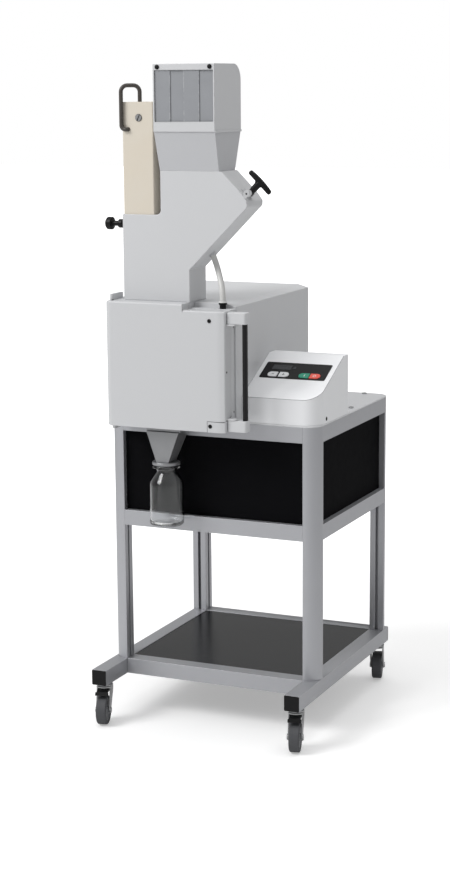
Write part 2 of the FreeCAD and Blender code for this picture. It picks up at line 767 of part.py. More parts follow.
def build_chamber():
    drum_z1 = cover_side_top - rear_drum_drop
    block = box(mill_left, hopper_base_right, block_front, block_rear, mill_z, hopper_base_top)
    block = block.fuse(box(mill_left, mill_right, block_front, plate_rear, overhang_z, ledge_top))
    block = block.fuse(box(mill_left, hopper_base_right, block_front, -table_gap, overhang_z, mill_z))
    block = block.fuse(box(mill_left + rear_drum_inset, hopper_base_right - rear_drum_inset,
                           block_rear, rear_drum_rear, mill_z, drum_z1))
    block = block.cut(rotor_rod(block_front - over, bore_rear, bore_r))
    lower = rotor_rod(block_front - over, bore_rear, sieve_r + sieve_t + seat_gap)
    lower = lower.common(box(mill_left, mill_right, block_front - over, bore_rear, 0, rotor_z))
    block = block.cut(lower)
    block = block.cut(rotor_rod(0, rear_drum_rear + over, shaft_r + shaft_seal_gap))
    trough = slab_yz([(trough_front, overhang_z - over), (trough_lip_rear, overhang_z - over),
                      (trough_lip_rear, mill_z), (block_rear, trough_slope_z), (block_rear, rotor_z - bore_r / 2),
                      (trough_front, rotor_z - bore_r / 2)],
                     rotor_x - trough_half_w, rotor_x + trough_half_w)
    block = block.cut(trough)
    inner_left = shaft_left + sheet
    inner_right = inner_left + plunger_w + seat_gap * 2
    guide_x = skirt_right - (skirt_top_z - hopper_base_top) - sheet
    throat_x = rotor_x - bore_r * math.cos(math.radians(45))
    inlet = slab_xz([(inner_left, hopper_base_top + over), (guide_x + over, hopper_base_top + over),
                     (guide_x, hopper_base_top), (inner_right, hopper_base_top - (guide_x - inner_right)),
                     (inner_right, rotor_z + bore_r * math.sqrt(3) / 2), (throat_x, rotor_z + bore_r / 2),
                     (inner_left, hopper_base_top - inlet_left_drop)],
                    chute_front + sheet, chute_rear - sheet)
    block = block.cut(inlet)
    for angle in bar_angles_deg:
        block = block.cut(bar_box(angle, seat_gap))
    block = block.cut(box(mill_right - side_recess_d, mill_right + over, side_recess_front, plate_rear + over,
                          side_recess_low_z, side_recess_high_z))
    put("chamber_housing", block.removeSplitter())
    put("cutting_bars", *[bar_box(angle, 0) for angle in bar_angles_deg])
    sieve = rotor_rod(rotor_front, rotor_rear, sieve_r + sieve_t).cut(
        rotor_rod(rotor_front - over, rotor_rear + over, sieve_r))
    sieve = sieve.common(box(mill_left, mill_right, rotor_front, rotor_rear, 0, rotor_z - seat_gap))
    for k in range(sieve_slot_count):
        angle = -90 + (k - (sieve_slot_count - 1) / 2) * sieve_slot_pitch_deg
        slot = box(0, bore_r * 2, rotor_front + sieve_rim, rotor_rear - sieve_rim,
                   -sieve_slot_w / 2, sieve_slot_w / 2)
        slot.rotate(V(0, 0, 0), V(0, 1, 0), -angle)
        slot.translate(V(rotor_x, 0, rotor_z))
        sieve = sieve.cut(slot)
    put("sieve", sieve)
    # Rotor with saw-shaped teeth
    pts = []
    step = 360 / rotor_teeth
    low = rotor_r * rotor_gullet_share
    for k in range(rotor_teeth):
        lead = math.radians(k * step)
        land = lead + rotor_edge_w / rotor_r
        deep = land + math.radians(step) * (1 - rotor_gullet_share) / 2
        pts.append((rotor_x + rotor_r * math.cos(lead), rotor_z + rotor_r * math.sin(lead)))
        pts.append((rotor_x + rotor_r * math.cos(land), rotor_z + rotor_r * math.sin(land)))
        pts.append((rotor_x + low * math.cos(deep), rotor_z + low * math.sin(deep)))
    rotor = slab_xz(pts, rotor_front, rotor_rear)
    rotor = rotor.cut(rotor_rod(rotor_front - over, rotor_rear + over, shaft_r + fit_gap))
    put("rotor", rotor)
    shaft = rotor_rod(rotor_front, drive_shaft_rear, shaft_r)
    coupling = rotor_rod(coupling_front, coupling_rear, coupling_r)
    coupling = coupling.cut(rotor_rod(coupling_front - over, coupling_rear + over, shaft_r + fit_gap))
    put("drive_shaft", shaft, coupling)
    bearing = rotor_rod(bearing_front, bearing_rear, bearing_r)
    bearing = bearing.fuse(box(rotor_x - bearing_foot_half_w, rotor_x + bearing_foot_half_w,
                               bearing_front, bearing_rear, mill_z, mill_z + bearing_foot_h))
    bearing = bearing.fuse(box(rotor_x - bearing_r / 2, rotor_x + bearing_r / 2, bearing_front, bearing_rear,
                               mill_z, rotor_z))
    bearing = bearing.cut(rotor_rod(bearing_front - over, bearing_rear + over, shaft_r + fit_gap))
    put("bearing_housing", bearing.removeSplitter())
    motor = rotor_rod(motor_front, motor_rear, motor_r - motor_fin_h)
    for k in range(motor_fin_count):
        fin = box(0, motor_r, motor_front + motor_foot_h, motor_rear - motor_foot_h,
                  -motor_fin_w / 2, motor_fin_w / 2)
        fin.rotate(V(0, 0, 0), V(0, 1, 0), k * 360 / motor_fin_count)
        fin.translate(V(rotor_x, 0, rotor_z))
        motor = motor.fuse(fin)
    motor = motor.fuse(box(rotor_x - motor_foot_half_w, rotor_x + motor_foot_half_w,
                           motor_front + motor_foot_h, motor_rear - motor_foot_h,
                           mill_z, mill_z + motor_foot_h))
    motor = motor.cut(rotor_rod(motor_front - over, motor_front + motor_bore_l + over, shaft_r + fit_gap))
    put("motor", motor.removeSplitter())
    anchor("rotor", V(rotor_x, 0, rotor_z))


def build_cover():
    top_z = cover_side_top + cover_crown

    def section(inset):
        left = mill_left + inset
        right = mill_right - inset
        return [(left, mill_z), (right, mill_z), (right, cover_side_top - inset),
                (right - cover_shoulder, top_z - inset), (left + cover_shoulder, top_z - inset),
                (left, cover_side_top - inset)]

    cover = slab_xz(section(0), plate_rear, cover_rear)
    cover = cover.cut(slab_xz(section(cover_wall), plate_rear + cover_wall, cover_rear - cover_wall))
    cover = cover.cut(box(mill_left + cover_wall, mill_right - cover_wall, plate_rear + cover_wall,
                          cover_rear - cover_wall, mill_z - over, mill_z + over))
    cover = cover.cut(box(mill_left - over, hopper_base_right + seat_gap, plate_rear - over,
                          block_rear, mill_z - over, top_z + over))
    hole = box(inlet_x - inlet_half_w, inlet_x + inlet_half_w, cover_rear - cover_wall - over,
               cover_rear + over, inlet_z - inlet_half_h, inlet_z + inlet_half_h)
    cover = cover.cut(hole)
    middle = (mill_left + mill_right) / 2
    for k in range(vent_count):
        x = middle + (k - (vent_count - 1) / 2) * vent_pitch
        cover = cover.cut(box(x - vent_w / 2, x + vent_w / 2, cover_rear - cover_wall - over, cover_rear + over,
                              vent_low_z, vent_high_z))
    put("motor_cover", cover.removeSplitter())
    # Appliance inlet in the rear wall
    gap = seat_gap
    plug = box(inlet_x - inlet_half_w + gap, inlet_x + inlet_half_w - gap, cover_rear - inlet_depth,
               cover_rear, inlet_z - inlet_half_h + gap, inlet_z + inlet_half_h - gap)
    rim_w = inlet_half_w + inlet_flange_rim
    rim_h = inlet_half_h + inlet_flange_rim
    plug = plug.fuse(box(inlet_x - rim_w, inlet_x + rim_w, cover_rear, cover_rear + inlet_flange_t,
                         inlet_z - rim_h, inlet_z + rim_h))
    face = cover_rear + inlet_flange_t
    mouth = box(inlet_x - inlet_mouth_half_w, inlet_x + inlet_mouth_half_w, face - inlet_mouth_d,
                face + over, inlet_z - inlet_mouth_half_h, inlet_z + inlet_mouth_half_h)
    plug = plug.cut(mouth)
    for k in (-1, 0, 1):
        plug = plug.fuse(rod(V(inlet_x + k * inlet_pin_pitch, face - inlet_mouth_d, inlet_z), V(0, 1, 0),
                             inlet_pin_r, inlet_pin_l))
    put("power_inlet", plug.removeSplitter())


def build_chute():
    x_in = shaft_left + sheet
    shaft_in_right = x_in + plunger_w + seat_gap * 2
    outer = slab_xz([(shaft_left, hopper_base_top), (skirt_right, hopper_base_top), (skirt_right, skirt_top_z),
                     (tip_x, tip_bottom_z, tip_round), (tip_x, tip_top_z, tip_round),
                     (slope_foot_x, slope_foot_z), (chute_top_right, chute_top_z), (notch_right, chute_top_z),
                     (notch_right, shaft_rim_z, notch_r), (shaft_left, shaft_rim_z)],
                    chute_front, chute_rear)
    run = sheet * (math.sqrt(2) - 1)
    slant = sheet * math.sqrt(2)
    y0 = chute_front + sheet
    y1 = chute_rear - sheet
    low_x = skirt_right - (skirt_top_z - hopper_base_top) - slant
    inner = slab_xz([(x_in, hopper_base_top - over), (low_x - over, hopper_base_top - over),
                     (low_x, hopper_base_top),
                     (tip_x - sheet, tip_bottom_z + run), (tip_x - sheet, tip_top_z - run),
                     (slope_foot_x - run, slope_foot_z - sheet), (chute_top_right - run, chute_top_z - sheet),
                     (funnel_right - sheet, chute_top_z - sheet),
                     (funnel_right - sheet, chute_top_z + over), (notch_right + sheet, chute_top_z + over),
                     (notch_right + sheet, shaft_rim_z - sheet),
                     (x_in, shaft_rim_z - sheet)], y0, y1)
    chute = outer.cut(inner)
    chute = chute.cut(box(x_in, shaft_in_right, y0, y1, shaft_rim_z - sheet - over, shaft_rim_z + over))
    # Hollow under the guide, open to the block below
    foot = skirt_right - sheet
    pocket = slab_xz([(low_x + slant * 2, hopper_base_top - over), (foot, hopper_base_top - over),
                      (foot, skirt_top_z - slant), (low_x + slant * 2 + over, hopper_base_top + over)], y0, y1)
    chute = chute.cut(pocket)
    chute = chute.cut(rod(V(shaft_left - over, knob_y, knob_z), V(1, 0, 0), knob_pin_r + fit_gap * 2,
                          sheet + over * 2))
    put("chute", chute.removeSplitter())
    # Funnel between the chute and the hood
    def ring(x0, x1, ya, yb, z):
        return Part.makePolygon([V(x0, ya, z), V(x1, ya, z), V(x1, yb, z), V(x0, yb, z), V(x0, ya, z)])

    def frustum(inset, z0, z1):
        wires = []
        for z in (z0, z1):
            share = (z - chute_top_z) / (funnel_top_z - chute_top_z)
            xa = funnel_left + (hood_left - funnel_left) * share + inset
            xb = funnel_right + (hood_right - funnel_right) * share - inset
            ya = chute_front + (hood_front + sheet - chute_front) * share + inset
            yb = funnel_rear + (hood_rear - sheet - funnel_rear) * share - inset
            wires.append(ring(xa, xb, ya, yb, z))
        return Part.makeLoft(wires, True, True)

    funnel = frustum(0, chute_top_z, funnel_top_z).cut(
        frustum(sheet, chute_top_z - over, funnel_top_z + over))
    put("hopper_funnel", funnel)
    # Hood with its front window
    z0 = funnel_top_z
    z1 = hood_top_z
    hood = slab_yz([(hood_front, z0), (hood_rear, z0), (hood_rear, z1, hood_rear_r), (hood_front, z1)],
                   hood_left, hood_right)
    inner_hood = slab_yz([(hood_front + sheet, z0 + sheet), (hood_rear - sheet, z0 + sheet),
                          (hood_rear - sheet, z1 - sheet, hood_rear_r - sheet),
                          (hood_front + sheet, z1 - sheet)], hood_left + sheet, hood_right - sheet)
    hood = hood.cut(inner_hood)
    hood = hood.cut(box(hood_left + hood_edge, hood_right - hood_edge, hood_front - over,
                        hood_front + sheet + over, z0 + hood_sill, z1 - hood_band))
    hood = hood.cut(box(hood_left + sheet * 2, hood_right - sheet * 2, hood_front + sheet * 3,
                        hood_rear - sheet * 3, z0 - over, z0 + sheet + over))
    put("hood", hood.removeSplitter())
    # Overlapping rubber strips behind the window, hung from the top band
    inside = hood_right - hood_left - sheet * 2 - run_gap * 2
    strip_w = (inside + strip_lap * (strip_count - 1)) / strip_count
    strips = []
    for k in range(strip_count):
        xa = hood_left + sheet + run_gap + k * (strip_w - strip_lap)
        ya = hood_front + sheet + (k % 2) * (strip_t + seat_gap)
        strips.append(box(xa, xa + strip_w, ya, ya + strip_t, z0 + hood_sill - strip_hem,
                          z1 - sheet - run_gap))
    put("curtain_strips", *strips)
    screws = []
    for x in (hood_left + hood_screw_inset, hood_right - hood_screw_inset):
        head = rod(V(x, hood_front, z1 - hood_band / 2), V(0, -1, 0), hood_screw_r, hood_screw_h)
        screws.append(head)
    fixings.extend(screws)


def build_plunger():
    x0 = shaft_left + sheet + seat_gap
    x1 = x0 + plunger_w
    y0 = chute_front + sheet + run_gap
    y1 = chute_rear - sheet - run_gap
    cap_z = plunger_top_z - plunger_cap_t
    body = slab_xy(rect(x0, x1, y0, y1, plunger_edge_r), plunger_bottom_z, cap_z)
    body = body.cut(box(x0 + plunger_wall, x1 - plunger_wall, y0 + plunger_wall, y1 - plunger_wall,
                        plunger_bottom_z + plunger_wall, cap_z + over))
    cap = slab_xy(rect(x0, x1, y0, y1, plunger_edge_r), cap_z, plunger_top_z)
    handle_top_z = plunger_top_z + handle_rise
    handle_foot_z = plunger_top_z - handle_foot_drop
    screw_z = plunger_top_z - screw_drop
    place = [V(handle_leg_x, handle_y, plunger_top_z - handle_foot_d), V(handle_leg_x, handle_y, handle_top_z),
             V(handle_low_x, handle_low_y, handle_top_z), V(handle_low_x, handle_low_y, handle_foot_z),
             V(handle_foot_x, handle_low_y, handle_foot_z), V(handle_foot_x, y0 + handle_foot_d, handle_foot_z)]
    bends = [0, handle_bend_r, handle_bend_r, handle_foot_bend_r, handle_foot_y_r]
    edges = []
    last = place[0]
    for i in range(1, len(place) - 1):
        r = bends[i]
        back = (place[i - 1] - place[i]).normalize()
        ahead = (place[i + 1] - place[i]).normalize()
        first = place[i] + back * r
        end = place[i] + ahead * r
        mid = place[i] + (back + ahead) * r - (back + ahead).normalize() * r
        edges.append(Part.LineSegment(last, first).toShape())
        edges.append(Part.Arc(first, mid, end).toShape())
        last = end
    edges.append(Part.LineSegment(last, place[-1]).toShape())
    spine = Part.Wire(edges)
    ring = Part.Wire(Part.Circle(place[0], V(0, 0, 1), handle_rod_r).toShape())
    handle = spine.makePipeShell([ring], True, False)
    hole_r = handle_rod_r + fit_gap
    hole_top = rod(V(handle_leg_x, handle_y, plunger_top_z - handle_foot_d), V(0, 0, 1), hole_r, over * 4)
    hole_side = rod(V(handle_foot_x, y0 - over, handle_foot_z), V(0, 1, 0), hole_r, handle_foot_d + over)
    cap = cap.cut(hole_top)
    body = body.cut(hole_side)
    body = body.cut(rod(V(screw_x, y0 - over, screw_z), V(0, 1, 0), screw_r / 2 + fit_gap, plunger_wall / 2 + over))
    put("plunger", body, cap)
    screw = rod(V(screw_x, y0, screw_z), V(0, -1, 0), screw_r, screw_h)
    screw = screw.fuse(rod(V(screw_x, y0, screw_z), V(0, 1, 0), screw_r / 2, plunger_wall / 2))
    slot = box(screw_x - screw_r, screw_x + screw_r, y0 - screw_h - over, y0 - screw_h / 2,
               screw_z - screw_slot_w / 2, screw_z + screw_slot_w / 2)
    put("plunger_handle", handle, screw.cut(slot).removeSplitter())
    anchor("plunger", V(x0, y0, plunger_bottom_z))
    # Index bush and pull knob
    bore = knob_pin_r + fit_gap
    bush_tip = shaft_left - bush_l - bush_flange_t
    bush = rod(V(shaft_left - bush_l, knob_y, knob_z), V(1, 0, 0), bush_r, bush_l)
    bush = bush.fuse(rod(V(bush_tip, knob_y, knob_z), V(1, 0, 0), bush_flange_r, bush_flange_t))
    bush = bush.cut(rod(V(bush_tip - over, knob_y, knob_z), V(1, 0, 0), bore, bush_l + bush_flange_t + over * 2))
    put("index_bush", bush.removeSplitter())
    neck_tip = bush_tip - run_gap - knob_neck_l
    head_tip = neck_tip - knob_head_l
    knob = rod(V(neck_tip, knob_y, knob_z), V(1, 0, 0), knob_neck_r, knob_neck_l)
    section = [(0, 0), (knob_head_r, 0, knob_edge_r / 2), (knob_head_r, -knob_head_l, knob_edge_r),
               (0, -knob_head_l)]
    wire = loop(section, lambda p: V(neck_tip + p.y, knob_y, knob_z + p.x))
    head = Part.Face(wire).revolve(V(neck_tip, knob_y, knob_z), V(1, 0, 0), 360)
    knob = knob.fuse(head)
    pin_tip = x0 - pin_gap
    knob = knob.fuse(rod(V(neck_tip, knob_y, knob_z), V(1, 0, 0), knob_pin_r, pin_tip - neck_tip))
    put("index_knob", knob.removeSplitter())
    anchor("knob", V(head_tip, knob_y, knob_z))


def build_t_handle():
    # The handle leans along the outward normal of the chute's slope.
    along = V(slope_foot_x - chute_top_right, 0, slope_foot_z - chute_top_z).normalize()
    normal = V(-along.z, 0, along.x)
    foot = V(slope_foot_x, t_handle_y, slope_foot_z) + along * t_pivot_past
    pivot = foot + normal * t_pivot_off
    turn = math.degrees(math.atan2(along.z, along.x))

    def local(shape):
        shape.rotate(V(0, 0, 0), V(0, 1, 0), -turn)
        shape.translate(pivot)
        return shape

    hub_half = t_hub_w / 2
    hub = rod(V(0, -hub_half, 0), V(0, 1, 0), t_hub_r, t_hub_w)
    stem = rod(V(0, 0, 0), V(0, 0, 1), t_stem_r, t_stem_l)
    bar = Part.makeCone(t_bar_r, t_bar_mid_r, t_bar_l / 2, V(-t_bar_l / 2, 0, t_stem_l), V(1, 0, 0))
    bar = bar.fuse(Part.makeCone(t_bar_mid_r, t_bar_r, t_bar_l / 2, V(0, 0, t_stem_l), V(1, 0, 0)))
    for side in (-1, 1):
        bar = bar.fuse(Part.makeSphere(t_bar_r, V(side * t_bar_l / 2, 0, t_stem_l)).common(
            box(-t_bar_l, t_bar_l, -t_bar_l, t_bar_l, t_stem_l - t_bar_r * 2, t_stem_l + t_bar_r * 2)))
    handle = hub.fuse(stem).fuse(bar)
    handle = handle.cut(rod(V(0, -t_bar_l, 0), V(0, 1, 0), t_pin_r + fit_gap, t_bar_l * 2))
    put("t_handle", local(handle.removeSplitter()))
    base = box(-t_base_up, t_base_down, -hub_half - run_gap - t_ear_t, hub_half + run_gap + t_ear_t,
               -t_pivot_off, -t_pivot_off + t_base_t)
    base = base.cut(rod(V(0, -hub_half - run_gap, 0), V(0, 1, 0), t_hub_r + run_gap, t_hub_w + run_gap * 2))
    for side in (-1, 1):
        y0, y1 = sorted((side * (hub_half + run_gap), side * (hub_half + run_gap + t_ear_t)))
        ear = rod(V(0, y0, 0), V(0, 1, 0), t_ear_r, t_ear_t)
        ear = ear.fuse(box(-t_ear_r, t_ear_r, y0, y1, -t_pivot_off, 0))
        base = base.fuse(ear)
    pin_half = hub_half + run_gap + t_ear_t
    base = base.fuse(rod(V(0, -pin_half, 0), V(0, 1, 0), t_pin_r, pin_half * 2))
    put("t_handle_bracket", local(base.removeSplitter()))
    anchor("t_handle", pivot)


def tube_path(points):
    # Straight runs joined by tangent arcs, each as large as its two runs allow.
    edges = []
    radii = []
    last = points[0]
    for i in range(1, len(points) - 1):
        back = points[i - 1] - points[i]
        ahead = points[i + 1] - points[i]
        short = min(back.Length, ahead.Length)
        back = back.normalize()
        ahead = ahead.normalize()
        half_turn = (math.pi - math.acos(max(-1, min(1, back.dot(ahead))))) / 2
        take = short * hose_arc_share
        radius = take / math.tan(half_turn)
        first = points[i] + back * take
        end = points[i] + ahead * take
        toward = (back + ahead).normalize()
        mid = points[i] + toward * (radius / math.cos(half_turn) - radius)
        edges.append(Part.LineSegment(last, first).toShape())
        edges.append(Part.Arc(first, mid, end).toShape())
        radii.append(radius)
        last = end
    edges.append(Part.LineSegment(last, points[-1]).toShape())
    return Part.Wire(edges), radii


def build_hose():
    slope = V(tip_x - skirt_right, 0, tip_bottom_z - skirt_top_z).normalize()
    root_z = skirt_top_z + (hose_root_x - skirt_right) * slope.z / slope.x
    root = V(hose_root_x, hose_root_y, root_z)
    lean = V(hose_lean_x_share, hose_lean_y_share, -1).normalize()
    start = root + lean * upper_gland_h
    end = V(gland_x, gland_y, ledge_top + gland_h + gland_body_h)
    high = start + lean * hose_lead
    low = end + V(0, 0, hose_end_lead)
    route = [start, high, (high + low) * (1 / 2) + V(hose_bow, 0, 0), low, end]
    spine, radii = tube_path(route)
    print("hose radii", ["%.1f" % r for r in radii])
    ring = Part.Wire(Part.Circle(start, route[1] - route[0], hose_r).toShape())
    tube = spine.makePipeShell([ring], True, False)
    print("hose volume %.0f against %.0f" % (tube.Volume, math.pi * hose_r ** 2 * spine.Length))
    put("hose", tube)
    for i, p in enumerate(route):
        anchor("hose_%d" % i, p)
    upper = rod(root - lean * upper_gland_r, lean, upper_gland_r, upper_gland_h + upper_gland_r)
    upper = upper.cut(slab_xz([(skirt_right, skirt_top_z), (tip_x, tip_bottom_z), (skirt_right, tip_bottom_z)],
                              chute_front, chute_rear))
    lower = rod(V(gland_x, gland_y, ledge_top), V(0, 0, 1), gland_body_r, gland_body_h)
    lower = lower.fuse(rod(V(gland_x, gland_y, ledge_top + gland_body_h), V(0, 0, 1), gland_r, gland_h))
    put("hose_glands", upper, lower.removeSplitter())


def build_door():
    y0 = block_front - door_gap - door_depth
    y1 = block_front - door_gap
    z0 = overhang_z + run_gap
    z_right = ledge_top - door_gap
    z_left = hopper_base_top - run_gap
    step_x = hopper_base_right
    right_corner = [(mill_right - door_bevel_w, y0, door_bevel_r), (mill_right, y0 + door_bevel_d, door_edge_r),
                    (mill_right, y1)]
    shell = slab_xy([(mill_left, y1), (mill_left, y0, door_front_left_r)] + right_corner, z0, z_left)
    shell = shell.cut(box(step_x, mill_right + over, y0 - over, y1 + over, z_right, z_left + over))
    keep = shell.copy()
    edges = []
    for e in shell.Edges:
        b = e.BoundBox
        if b.ZLength < fit_gap and b.ZMin > z_right - fit_gap and b.YMin < y1 - over and b.XLength > over:
            edges.append(e)
    try_lip = shell.makeFillet(door_lip_r, edges)
    shell = try_lip if try_lip.isValid() and try_lip.Volume > 0 else keep
    # Pocket behind the front skin, closed by the liner
    pocket_left = mill_left + door_boss_w
    liner_y = y1 - liner_t
    pocket = box(pocket_left, mill_right - door_wall * 2, y0 + door_wall, y1 + over,
                 z0 + door_wall * 3, z_right - door_wall * 2)
    shell = shell.cut(pocket)
    recess = box(pocket_left - liner_rim, mill_right - door_wall * 2 + liner_rim, liner_y, y1 + over,
                 z0 + door_wall * 3 - liner_rim, z_right - door_wall * 2 + liner_rim)
    shell = shell.cut(recess)
    # The left wall stops short so that its rear corner clears the housing as it swings
    shell = shell.cut(box(mill_left - over, hinge_x + over / 2, y1 - door_left_step, y1 + over, 0, z_left + over))
    for z in (z0, z_left):
        shell = shell.cut(rod(V(hinge_x, hinge_y, z - hinge_pin_l), V(0, 0, 1), hinge_pin_r + fit_gap,
                              hinge_pin_l * 2))

    def wedge(x0, drop):
        # Room of the corner block; its upper face rises to the rear.
        low = z0 + corner_block_h - drop
        high = low + corner_block_rise
        return slab_yz([(y0 - over, z0 - over), (y1 + over, z0 - over), (y1 + over, high), (y1, high),
                        (y0, low), (y0 - over, low)], x0, mill_right + over)

    corner = wedge(mill_right - corner_block_w, 0)
    shell = shell.cut(corner)
    put("door_shell", shell.removeSplitter())
    gap = seat_gap
    liner = box(pocket_left - liner_rim + gap, mill_right - door_wall * 2 + liner_rim - gap, liner_y, y1,
                z0 + door_wall * 3 - liner_rim + gap, z_right - door_wall * 2 + liner_rim - gap)
    liner = liner.cut(corner)
    put("door_liner", liner)
    # Inset corner block, and two plates with stub pins that carry the lever
    left = mill_right - corner_block_w + gap
    block = slab_xy([(left, y1), (left, y0)] + right_corner, z0, z_right)
    holders = [block.common(wedge(left, gap))]
    for base_z, way in ((lever_upper_z, -1), (lever_lower_z + lever_arm_h, 1)):
        near = base_z + way * run_gap
        far = near + way * lever_plate_t
        t0, t1 = sorted((near, far))
        plate = rod(V(lever_pin_x, lever_pin_y, t0), V(0, 0, 1), lever_plate_r, lever_plate_t)
        plate = plate.fuse(box(mill_right, lever_pin_x, lever_pin_y - lever_plate_r, lever_pin_y + lever_plate_r,
                               t0, t1))
        p0, p1 = sorted((far, base_z - way * lever_pin_bite))
        plate = plate.fuse(rod(V(lever_pin_x, lever_pin_y, p0), V(0, 0, 1), lever_pin_r, p1 - p0))
        holders.append(plate.removeSplitter())
    put("lever_brackets", *holders)
    screws = []
    x = mill_right - door_screw_inset
    for z in (z_right - door_screw_drop, z0 + door_screw_rise):
        screws.append(rod(V(x, y0, z), V(0, -1, 0), door_screw_r, door_screw_h))
    put("door_screws", *screws)
    # Hinge straps fixed to the housing, each with its pin
    straps = []
    for z, h, way in ((hopper_base_top, strap_top_h, -1), (overhang_z - strap_bottom_h, strap_bottom_h, 1)):
        r = strap_w / 2
        strap = rod(V(hinge_x, hinge_y, z), V(0, 0, 1), r, h)
        strap = strap.fuse(box(hinge_x - r, hinge_x + r, hinge_y, strap_rear, z, z + h))
        pin_z = z - hinge_pin_l + over if way < 0 else z + h
        strap = strap.fuse(rod(V(hinge_x, hinge_y, pin_z), V(0, 0, 1), hinge_pin_r, hinge_pin_l - over))
        straps.append(strap.removeSplitter())
    put("hinge_straps", *straps)
    anchor("door", V(hinge_x, hinge_y, z0))
    # C-shaped lever: two arms and a grip bar
    arms = []
    px = lever_pin_x
    py = lever_pin_y
    for base_z, way in ((lever_upper_z, -1), (lever_lower_z, 1)):
        top_z = base_z + lever_arm_h
        arm = slab_xy([(mill_right + run_gap, py - lever_front), (lever_reach, py - lever_front, lever_corner_r),
                       (lever_reach, py + lever_back, lever_corner_r), (mill_right + run_gap, py + lever_back)],
                      base_z, top_z)
        quarter = box(mill_right - over, px, py - lever_back, py, base_z - over, top_z + over)
        arm = arm.cut(quarter.cut(rod(V(px, py, base_z - over * 2), V(0, 0, 1), lever_root_r,
                                      lever_arm_h + over * 4)))
        hole_z = base_z - over if way < 0 else top_z - lever_pin_bite - run_gap
        arm = arm.cut(rod(V(px, py, hole_z), V(0, 0, 1), lever_pin_r + fit_gap, lever_pin_bite + run_gap + over))
        # Rearward latch tab that lies outside the striker on the housing
        zc = base_z + lever_arm_h / 2
        back = py + lever_back
        tab = box(px + tab_side - tab_t, px + tab_side, back - over, back + tab_reach, zc - tab_h / 2, zc + tab_h / 2)
        tab = tab.fuse(box(mill_right + striker_t + run_gap, px + tab_side, back + tab_reach - tab_t,
                           back + tab_reach, zc - tab_h / 2, zc + tab_h / 2))
        arms.append(arm.fuse(tab).removeSplitter())
    g0 = lever_lower_z + lever_arm_h
    g1 = lever_upper_z
    grip = slab_xy(rect(grip_left, grip_left + grip_w, grip_y - grip_depth / 2, grip_y + grip_depth / 2,
                        grip_corner_r), g0, g1)
    put("lever_arms", *arms)
    put("lever_grip", grip)
    anchor("lever", V(lever_pin_x, lever_pin_y, lever_lower_z))
    strikers = []
    for base_z in (lever_upper_z, lever_lower_z):
        zc = base_z + lever_arm_h / 2
        strikers.append(box(mill_right, mill_right + striker_t, striker_rear - striker_w, striker_rear,
                            zc - tab_h / 2 - striker_t, zc + tab_h / 2 + striker_t))
    put("lever_strikers", *strikers)


def build_outlet():
    fz0 = outlet_flange_z
    fz1 = overhang_z
    ox = outlet_x
    flange = box(ox - outlet_flange_half_w, ox + outlet_flange_half_w, outlet_flange_front,
                 outlet_flange_rear, fz0, fz1)
    hole_x0 = rotor_x - trough_half_w
    flange = flange.cut(box(hole_x0, rotor_x + trough_half_w, trough_front, trough_lip_rear,
                            fz0 - over, fz1 + over))

    def ring(x0, x1, ya, yb, z):
        return Part.makePolygon([V(x0, ya, z), V(x1, ya, z), V(x1, yb, z), V(x0, yb, z), V(x0, ya, z)])

    def frustum(inset, lift):
        top = ring(ox - outlet_funnel_half_w + inset, ox + outlet_funnel_half_w - inset,
                   outlet_funnel_front + inset, outlet_funnel_rear - inset, fz0 + lift)
        low = ring(ox - outlet_foot_half_w + inset, ox + outlet_foot_half_w - inset,
                   outlet_y - outlet_foot_half_d + inset, outlet_y + outlet_foot_half_d - inset,
                   ring_top_z - lift)
        return Part.makeLoft([low, top], True, True)

    inner = frustum(outlet_funnel_t, 0)
    funnel = frustum(0, 0).cut(inner)
    put("outlet_funnel", flange.fuse(funnel).removeSplitter())
    axis = V(ox, outlet_y, 0)
    z1 = ring_top_z
    z0 = z1 - ring_t
    up = V(0, 0, 1)
    collar = rod(V(ox, outlet_y, z0), up, ring_r, ring_t)
    collar = collar.fuse(rod(V(ox, outlet_y, z0 - ring_stub_l), up, ring_stub_r, ring_stub_l))
    collar = collar.cut(rod(V(ox, outlet_y, z0 - ring_stub_l - over), up, ring_bore_r,
                            ring_stub_l + ring_t + over * 2))
    put("bottle_collar", collar.removeSplitter())
    inner_r = bottle_neck_r - bottle_wall
    gasket = rod(V(ox, outlet_y, z0 - gasket_t), up, gasket_r, gasket_t)
    gasket = gasket.cut(rod(V(ox, outlet_y, z0 - gasket_t - over), up, inner_r, gasket_t + over * 2))
    put("bottle_gasket", gasket)
    # Wide-mouth bottle, drawn as one turned section
    top = z0 - gasket_t - run_gap
    lip_z = top - bottle_lip_h
    neck_z = lip_z - bottle_neck_h
    body_z = neck_z - bottle_shoulder_h
    w = bottle_wall
    low = top - bottle_h
    section = [(inner_r, top), (bottle_lip_r, top, bottle_edge_r), (bottle_lip_r, lip_z, bottle_edge_r),
               (bottle_neck_r, lip_z, bottle_edge_r), (bottle_neck_r, neck_z, bottle_neck_fillet),
               (bottle_body_r, body_z, bottle_shoulder_r), (bottle_body_r, low, bottle_base_r), (0, low),
               (0, low + w * 2), (bottle_body_r - w, low + w * 2, bottle_base_r - w),
               (bottle_body_r - w, body_z - w / 2, bottle_shoulder_r - w),
               (inner_r, neck_z - w / 2, bottle_neck_fillet + w)]
    wire = loop(section, lambda p: V(ox + p.x, outlet_y, p.y))
    bottle = Part.Face(wire).revolve(V(ox, outlet_y, 0), up, 360)
    put("bottle", bottle)
    anchor("bottle", V(ox, outlet_y, low))


